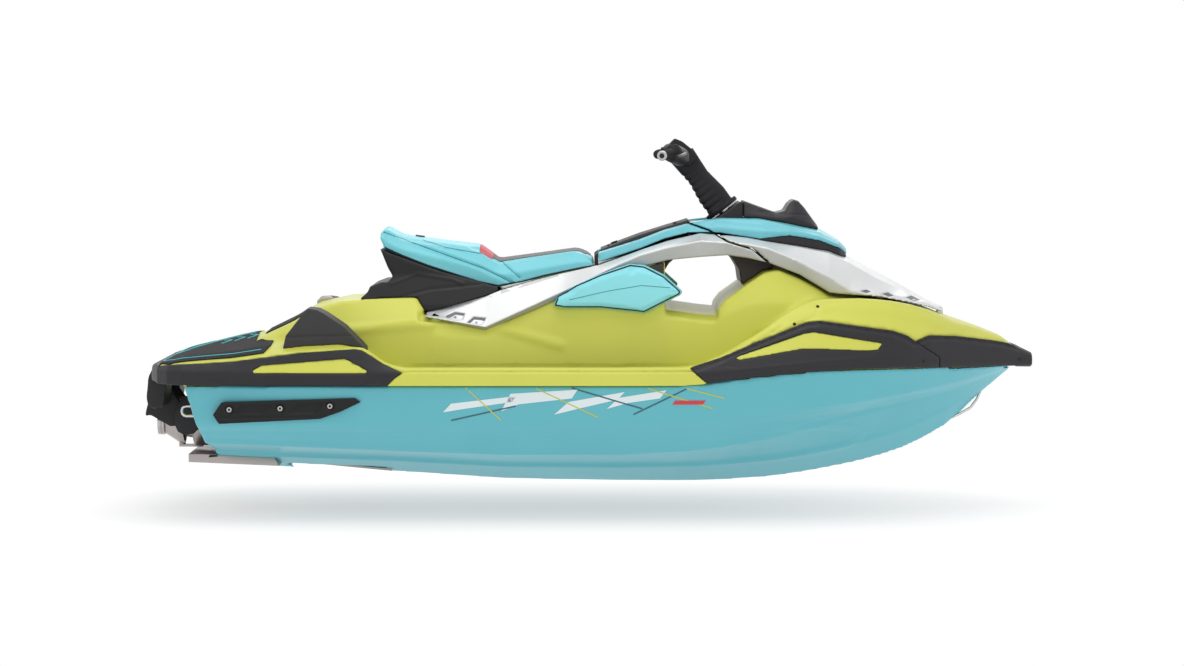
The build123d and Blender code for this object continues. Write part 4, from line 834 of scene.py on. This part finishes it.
SEAT_SEAMS = [
    [(-722, 650), (-652, 624), (-513, 574), (-374, 525), (-257, 467)],
    [(-589, 621), (-501, 595), (-350, 569)],
    [(-374, 604), (-304, 543), (-243, 490)],
]
seat = softened("seat", 8.0, 5)
relief(seat, [(SEAT_SEAMS[0], 5, 8, 10)])
settled(seat, 4.0, 6.0, lambda place, normal: normal[2] < -0.6)
finer(seat)
relief(seat, [(line, 4, 6, 8) for line in SEAT_SEAMS] + [([(6, 590), (12, 565), (30, 545)], 3, 6, 8)])
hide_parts("seat")
dress(seat, "seat")
seat_skin = tree_of(seat)
for name, half, cover, lift in (
    ("seat_top_panel", [(-318, 118), (-60, 124), (-10, 108), (4, 60)], "dark_vinyl", 1.6),
    ("seat_bolster_panel", [(-340, 124), (-318, 120)], "dark_vinyl", 1.2),
    ("seat_accent", [(-386, 140), (-340, 134)], "red_vinyl", 1.4),
    ("seat_tab", [(-616, 22), (-585, 22)], "dark_vinyl", 4),
):
    laid(name, [across(half)], seat_skin, ("top",), TRIM[cover], "seat", lift=lift)
seam("seat_welts", SEAT_SEAMS, seat_skin, BOTH, 1.6, TRIM["welt"], "seat", lift=-0.4)
SEAT_EDGE = [(-722, 599), (-655, 569), (-566, 534), (-449, 496), (-388, 477), (-319, 463), (-235, 478),
             (-155, 499), (-41, 523), (14, 533)]
# dark cord along the bottom of the cover: its black edge, and painted shade of the gap beneath it
seam("seat_edge_cord_and_shade", [SEAT_EDGE], seat_skin, BOTH, 3.2, TRIM["seal_and_painted_shade"], "seat", lift=-0.5)

knee_pads = pieces["knee_pads"]
settled(knee_pads, 1.5, 5.0, lambda place, normal: abs(place[1]) < 306)
finer(knee_pads)
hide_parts("knee_pads")
dress(knee_pads, "craft")
knee_skin = tree_of(knee_pads)
KNEE_OUTLINE = [
    (-118, 402), (-85, 396), (37, 396), (190, 380), (309, 441), (312, 449), (256, 499), (189, 533),
    (142, 539), (40, 505), (-45, 468), (-106, 430)]
seam(
    "knee_pad_edging", [KNEE_OUTLINE + KNEE_OUTLINE[:1]], knee_skin, BOTH, 3.0, TRIM["seal_and_painted_shade"],
    "craft", lift=-0.8)
seam("knee_pad_seams", [[(-70, 420), (60, 450), (180, 470), (280, 462)]], knee_skin, BOTH, 1.3, TRIM["welt"],
     "craft", lift=-0.3)

# ---- mats
MAT_EDGE = [(-1490, 330), (-1475, 400), (-1440, 466), (-1388, 484), (-1219, 500), (-1110, 504)]
REAR_MAT = [(-1500, 14), (-1500, 290), *MAT_EDGE, (-1092, 440), (-1092, 330), (-1160, 268), (-1170, 14)]
mirrored = [(x, -y) for x, y in reversed(REAR_MAT)]
laid(
    "platform_mats", [REAR_MAT, mirrored], deck_skin, ("top",), TRIM["mat_foam"], "craft",
    lift=5, step=12)
laid("ramp_mat", [across([(-1128, 225), (-1005, 205)])], deck_skin, ("top",), TRIM["mat_foam"],
     "craft", lift=4, step=12)
BORDER = [(-1478, 30), (-1478, 284), (-1462, 380), (-1424, 438), (-1380, 456), (-1215, 470), (-1120, 474)]
CHEVRONS = [[(-1290 + 46 * n, 60), (-1258 + 46 * n, 110), (-1290 + 46 * n, 160)] for n in range(3)]
lines = [BORDER, [(-1478, 30), (-1180, 30)], *CHEVRONS]
seam("mat_lines", lines + [[(x, -y) for x, y in line] for line in lines], deck_skin, ("top",), 2.2,
     TRIM["mat_line"], "craft", lift=4.6)
for name, y_near, y_far in (("left_footwell_mat", 352, 452), ("right_footwell_mat", -452, -352)):
    laid(
        name, [[(-600, y_near), (-600, y_far), (290, y_far), (290, y_near)]], deck_skin, ("top",),
        TRIM["mat_foam"], "craft", lift=5, step=14)

# ---- generic colour film on the hull
SHARDS = [
    [(-498, 48), (-470, 78), (-250, 104), (-262, 84), (-440, 58)],
    [(-300, 52), (-268, 112), (-40, 126), (-60, 96), (-240, 76)],
    [(-120, 40), (-70, 84), (120, 118), (96, 92), (-40, 60)],
    [(60, 60), (100, 98), (262, 124), (240, 96), (130, 80)],
]
LIME_LINES = [
    [(-420, 132), (-300, 20)], [(-180, 130), (30, 30)], [(200, 130), (420, 60)], [(330, 130), (460, 95)]]
DARK_LINES = [[(-60, 132), (180, 60)], [(150, 40), (330, 128)], [(-470, 20), (-250, 70)]]
RED_BAR = [(282, 74), (292, 88), (396, 88), (386, 74)]
for tone, outlines, lift in (
    ("white", SHARDS, 0.8), ("lime", [stroke(line, 4) for line in LIME_LINES], 1.1),
    ("dark", [stroke(line, 5) for line in DARK_LINES], 1.0), ("red", [RED_BAR], 1.3),
):
    laid(
        "hull_film_" + tone, outlines, craft_skin, BOTH, TRIM[tone + "_film"], "craft",
        lift=lift, step=24)
# grey sheets in the pressed slits of the hood: painted shade of the recesses
laid(
    "hood_slot_shade", [shrunk(slit, 0.22) for slit in HOOD_SLITS], hood_skin, BOTH, TRIM["slot_shade"],
    "hood", lift=0.8, step=6, facing=0.01)
# grey sheets over the upper part of the arch's recesses: painted shade
ARCH_SLOT_SHADES = [[(-499, 362), (-467, 375), (-434, 370), (-437, 362), (-466, 366), (-486, 355)],
              [(-422, 342), (-401, 359), (-361, 354), (-364, 346), (-400, 350), (-412, 339)]]
laid("arch_slot_shade", ARCH_SLOT_SHADES, arch_skin, BOTH, TRIM["slot_shade"], "craft", lift=0.8, step=12)
# a darker silver sheet along the top of the arch: painted shade
laid("arch_upper_facet_shade", [[(-548, 374), (-262, 463), (-90, 509), (-90, 505), (-262, 452), (-530, 368)]],
     arch_skin, BOTH, TRIM["arch_shade"], "craft", lift=0.6, step=20)
# a dark sheet on the deck under the arch: the liner moulding that shows there, and painted shade under the
# arch
laid(
    "liner_panel_and_shade", [[(168, 520), (232, 543), (294, 560), (294, 503), (262, 496), (232, 518)]], deck_skin,
    BOTH, FINISHES["dark_liner"], "craft", lift=1.5, step=6, facing=0.02)


# ---- small hard parts
def shaped(name, prisms, material, body, round_mm=1.5, both=True):
    """Plates and blocks: each a side-view outline of (x, z) from one y to another, with broken edges."""
    form = bmesh.new()
    for outline, y_from, y_to in prisms:
        for sign in ((1, -1) if both else (1,)):
            near = [form.verts.new(Vector((x, sign * y_from, z)) * MM) for x, z in outline]
            far = [form.verts.new(Vector((x, sign * y_to, z)) * MM) for x, z in outline]
            form.faces.new(near)
            form.faces.new(far[::-1])
            for index in range(len(outline)):
                after = (index + 1) % len(outline)
                form.faces.new((near[after], near[index], far[index], far[after]))
    bmesh.ops.recalc_face_normals(form, faces=form.faces)
    mesh = bpy.data.meshes.new(name)
    form.to_mesh(mesh)
    form.free()
    piece = broken_edges(link(name, mesh, material), round_mm)
    return dress(smooth(piece, 40), body)


def turned(name, profiles, material, body, sides=40, both=False):
    """Round parts: each a start, an end, and (share along, radius) rows of a closed lathe profile."""
    form = bmesh.new()
    circle = [(math.cos(2 * math.pi * n / sides), math.sin(2 * math.pi * n / sides)) for n in range(sides)]
    for start, end, rows in profiles:
        for sign in ((1, -1) if both else (1,)):
            foot, tip = Vector(start), Vector(end)
            foot.y *= sign
            tip.y *= sign
            turn = (tip - foot).to_track_quat("Z", "Y")
            rings = []
            for share, radius in rows:
                centre = foot + (tip - foot) * share
                places = [centre + turn @ Vector((radius * x, radius * y, 0)) for x, y in circle]
                rings.append([form.verts.new(place * MM) for place in places])
            for one, other in zip(rings, rings[1:] + rings[:1]):
                for index in range(sides):
                    after = (index + 1) % sides
                    form.faces.new((one[index], one[after], other[after], other[index]))
    bmesh.ops.remove_doubles(form, verts=form.verts, dist=0.001 * MM)
    bmesh.ops.dissolve_degenerate(form, edges=form.edges, dist=0.001 * MM)
    bmesh.ops.recalc_face_normals(form, faces=form.faces)
    mesh = bpy.data.meshes.new(name)
    form.to_mesh(mesh)
    form.free()
    return dress(smooth(link(name, mesh, material), 35), body)


# black seals in the joints of the hood and the seat
HOOD_JOINT = [(352, 640), (352, 679), (384, 679), (404, 658), (456, 697), (527, 750), (536, 751), (536, 640)]
shaped("hood_seal", [
    (HOOD_JOINT, 131.3, 134.3),
    ([(536.5, 640), (536.5, 750), (539.5, 750), (539.5, 640)], 0.0, 126.0),
], TRIM["seal_and_painted_shade"], "craft", round_mm=0.6)
shaped("seat_seal", [([(17, 534), (17, 566), (31, 577), (31, 534)], 0.0, 192.0)], TRIM["seal_and_painted_shade"],
       "craft", round_mm=0.8)
shaped("hood_side_seals", [
    ([(384, 660), (416, 652), (480, 613), (481, 617), (418, 657), (386, 665)], 142.0, 214.0),
    ([(480, 613), (566, 588), (617, 544), (620, 547), (568, 592), (481, 617)], 205.0, 286.0),
], TRIM["seal_and_painted_shade"], "craft", round_mm=0.5)

# stern: loops to tie up to, and drain plugs
loop = [
    (-1330, 400, 58), (-1388, 400, 58), (-1395, 400, 56), (-1400, 400, 51), (-1402, 400, 44),
    (-1402, 400, 38), (-1400, 400, 31), (-1395, 400, 26), (-1388, 400, 24), (-1322, 400, 24)]
eyes = bead(
    "stern_eye_loops", [loop, [(x, -y, z) for x, y, z in loop]], 5.0, FINISHES["steel"], "craft")
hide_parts("stern_eyes")
plug = [(0, 0), (0, 19), (0.6, 19), (0.7, 13), (1.0, 11), (1.0, 0)]
turned(
    "drain_plugs", [((-1330, 250, -20), (-1348, 250, -20), plug)], FINISHES["black_plastic"],
    "craft", both=True)


# ---- repeated fittings, made by Geometry Nodes
def new_tree(name, *inputs):
    """A geometry tree with named inputs: (name, socket type, default)."""
    tree = bpy.data.node_groups.new(name, "GeometryNodeTree")
    tree.interface.new_socket("Geometry", in_out="INPUT", socket_type="NodeSocketGeometry")
    for label, kind, default in inputs:
        socket = tree.interface.new_socket(label, in_out="INPUT", socket_type=kind)
        if default is not None:
            socket.default_value = default
    tree.interface.new_socket("Geometry", in_out="OUTPUT", socket_type="NodeSocketGeometry")
    return tree, add_node(tree, "NodeGroupInput").outputs


def grown(name, source, tree, values, body, angle=35):
    """A plain mesh made by a tree from a source mesh or curve, with its inputs set by identifier."""
    def build(carrier):
        modifier = carrier.modifiers.new("build", "NODES")
        modifier.node_group = tree
        for item in tree.interface.items_tree:
            if item.item_type == "SOCKET" and item.in_out == "INPUT" and item.name in values:
                modifier[item.identifier] = values[item.name]

    return dress(smooth(link(name, mesh_of(name, source, build)), angle), body)


def screw_tree():
    """Dished screw heads with a hexagonal socket, one at each point, turned along the point's facing."""
    tree, given = new_tree(
        "screw_heads", ("Radius", "NodeSocketFloat", 0.008), ("Height", "NodeSocketFloat", 0.004),
        ("Material", "NodeSocketMaterial", None), ("Socket", "NodeSocketMaterial", None))
    crown = add_node(tree, "ShaderNodeMath", {0: given["Radius"], 1: 0.72}, operation="MULTIPLY")
    head = add_node(
        tree, "GeometryNodeMeshCone",
        {
            "Vertices": 20, "Radius Top": crown.outputs[0], "Radius Bottom": given["Radius"],
            "Depth": given["Height"]})
    hollow = add_node(tree, "ShaderNodeMath", {0: given["Radius"], 1: 0.4}, operation="MULTIPLY")
    key = add_node(
        tree, "GeometryNodeMeshCylinder",
        {"Vertices": 6, "Radius": hollow.outputs[0], "Depth": given["Height"]})
    key_depth = add_node(tree, "ShaderNodeMath", {0: given["Height"], 1: 0.55}, operation="MULTIPLY")
    raised = add_node(tree, "ShaderNodeCombineXYZ", {"Z": key_depth.outputs[0]})
    key_place = add_node(
        tree, "GeometryNodeTransform", {"Geometry": key.outputs[0], "Translation": raised.outputs[0]})
    dark = add_node(
        tree, "GeometryNodeSetMaterial", {"Geometry": key_place.outputs[0], "Material": given["Socket"]})
    bright = add_node(
        tree, "GeometryNodeSetMaterial", {"Geometry": head.outputs[0], "Material": given["Material"]})
    screw = add_node(tree, "GeometryNodeJoinGeometry")
    for part in (bright, dark):
        tree.links.new(part.outputs[0], screw.inputs[0])
    facing = add_node(tree, "GeometryNodeInputNamedAttribute", {"Name": "facing"}, data_type="FLOAT_VECTOR")
    turn = add_node(
        tree, "FunctionNodeAlignRotationToVector", {"Vector": facing.outputs["Attribute"]}, axis="Z")
    placed = add_node(tree, "GeometryNodeInstanceOnPoints", {
        "Points": given["Geometry"], "Instance": screw.outputs[0], "Rotation": turn.outputs[0]})
    real = add_node(tree, "GeometryNodeRealizeInstances", {"Geometry": placed.outputs[0]})
    add_node(tree, "NodeGroupOutput", {"Geometry": real.outputs[0]})
    return tree


SCREWS = screw_tree()


def screws(name, places, search, radius_mm, height_mm, material, lift=0.8):
    """Screw heads set on the craft's surface where it is met from each side."""
    points, facings = [], []
    for view in BOTH:
        start, towards = RAYS[view]
        for u, v in places:
            place, normal, _, _ = search.ray_cast(start(u, v) * MM, towards)
            if place is None:
                continue
            normal = -normal if normal.dot(towards) > 0 else normal
            points.append(place + normal * lift * MM)
            facings.append(normal)
    mesh = bpy.data.meshes.new(name + "_points")
    mesh.from_pydata(points, [], [])
    layer = mesh.attributes.new("facing", "FLOAT_VECTOR", "POINT")
    layer.data.foreach_set("vector", [value for normal in facings for value in normal])
    # the sockets take the dark strip's colour: painted shade in their hollows
    return grown(
        name, mesh, SCREWS,
        {
            "Radius": radius_mm * MM, "Height": height_mm * MM, "Material": material,
            "Socket": TRIM["seal_and_painted_shade"]}, "craft")


screws("sponson_screws", SPONSON_BOLTS, sponson_skin, 12, 6, TRIM["bright_screw"], lift=1)
screws("arch_screws", ARCH_BOLTS, arch_skin, 5, 3, TRIM["bright_screw"], lift=1)
screws("bumper_screws", [(1155, 211), (1525, 196)], bumper_skin, 6, 3, TRIM["black_screw"])
screws("panel_screws", [(782, 402), (700, 345)], deck_skin, 6, 3, TRIM["black_screw"])


def sleeve_tree():
    """A moulded sleeve along a line, its radius rising and falling in even ribs."""
    tree, given = new_tree(
        "ribbed_sleeve", ("Radius", "NodeSocketFloat", 0.0165), ("Rib", "NodeSocketFloat", 0.0012),
        ("Ribs", "NodeSocketFloat", 20.0), ("Samples", "NodeSocketInt", 220),
        ("Material", "NodeSocketMaterial", None))
    dense = add_node(
        tree, "GeometryNodeResampleCurve", {"Curve": given["Geometry"], "Count": given["Samples"]})
    share = add_node(tree, "GeometryNodeSplineParameter")
    phase = add_node(
        tree, "ShaderNodeMath", {0: share.outputs["Factor"], 1: given["Ribs"]}, operation="MULTIPLY")
    turns = add_node(tree, "ShaderNodeMath", {0: phase.outputs[0], 1: 2 * math.pi}, operation="MULTIPLY")
    wave = add_node(tree, "ShaderNodeMath", {0: turns.outputs[0]}, operation="SINE")
    swell = add_node(tree, "ShaderNodeMath", {0: wave.outputs[0], 1: given["Rib"], 2: given["Radius"]},
                     operation="MULTIPLY_ADD")
    ring = add_node(tree, "GeometryNodeCurvePrimitiveCircle", {"Resolution": 28, "Radius": 1.0})
    tube = add_node(
        tree, "GeometryNodeCurveToMesh",
        {
            "Curve": dense.outputs[0], "Profile Curve": ring.outputs[0], "Scale": swell.outputs[0],
            "Fill Caps": True})
    coloured = add_node(
        tree, "GeometryNodeSetMaterial", {"Geometry": tube.outputs[0], "Material": given["Material"]})
    add_node(tree, "NodeGroupOutput", {"Geometry": coloured.outputs[0]})
    return tree


GRIP_OUT, GRIP_IN = Vector((249, 392, 918)), Vector((287, 262, 928))
PORT, STARBOARD = Vector((1, 1, 1)), Vector((1, -1, 1))
grip_runs = [[side * (GRIP_IN + (GRIP_OUT - GRIP_IN) * share) for share in (0.02, 0.97)]
             for side in (PORT, STARBOARD)]
grips = grown("ribbed_grips", line_curve("grip_lines", grip_runs), sleeve_tree(),
              {"Radius": 15.8 * MM, "Rib": 1.2 * MM, "Ribs": 20.0, "Samples": 220,
               "Material": FINISHES["rubber_black"]}, "steering", angle=60)
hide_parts("grips")
along_grip = (GRIP_OUT - GRIP_IN).normalized()
turned("grip_ends", [(GRIP_OUT - along_grip * 4, GRIP_OUT + along_grip * 1.5,
                      [(0, 8), (0, 17), (0.7, 17.4), (1.0, 16), (1.0, 9)])],
       TRIM["bright_screw"], "steering", both=True)
turned("grip_collars", [(GRIP_IN - along_grip * 2, GRIP_IN + along_grip * 6,
                         [(0, 11.2), (0, 22), (0.7, 22), (1.0, 18), (1.0, 11.2)])],
       FINISHES["rubber_black"], "steering", both=True)

# buttons on the rider's side of the switch pods
pod_skin = tree_of(pieces["switch_pods"])
button = [(0, 0), (0, 7), (0.8, 7), (1.0, 5.5), (1.0, 0)]
buttons = []
for y, z in ((240, 938), (240, 920), (-240, 938), (-240, 920)):
    place = hit(pod_skin, "aft", y, z)
    if place:
        buttons.append((place + Vector((3, 0, 0)), place - Vector((4, 0, 0)), button))
turned("pod_buttons", buttons, FINISHES["rubber_black"], "steering", sides=24)
shaped("lid_latch", [([(76, 600), (98, 608), (98, 616), (76, 608)], -20.0, 20.0)], FINISHES["rubber_black"],
       "glovebox_lid", both=False)
plate_skin = tree_of(pieces["ride_plate"])
# dark sheets for the ride plate's slots: painted shade of the openings
laid(
    "ride_plate_slot_shade",
    [[(x - 16, -140), (x - 12, -131), (x + 16, -131), (x + 16, -137)] for x in (-1320, -1140)], plate_skin,
    BOTH, TRIM["seal_and_painted_shade"], "craft", lift=0.8, step=10)

# nozzle: machined rings round its outlet
turned("nozzle_rings", [
    ((-1533.5, 0, -30), (-1524, 0, -30), [(0, 36), (0, 45.4), (1.0, 45.4), (1.0, 36)]),
    ((-1516, 0, -30), (-1511, 0, -30), [(0, 36), (0, 46.5), (1.0, 46.5), (1.0, 36)]),
], TRIM["bright_screw"], "nozzle")
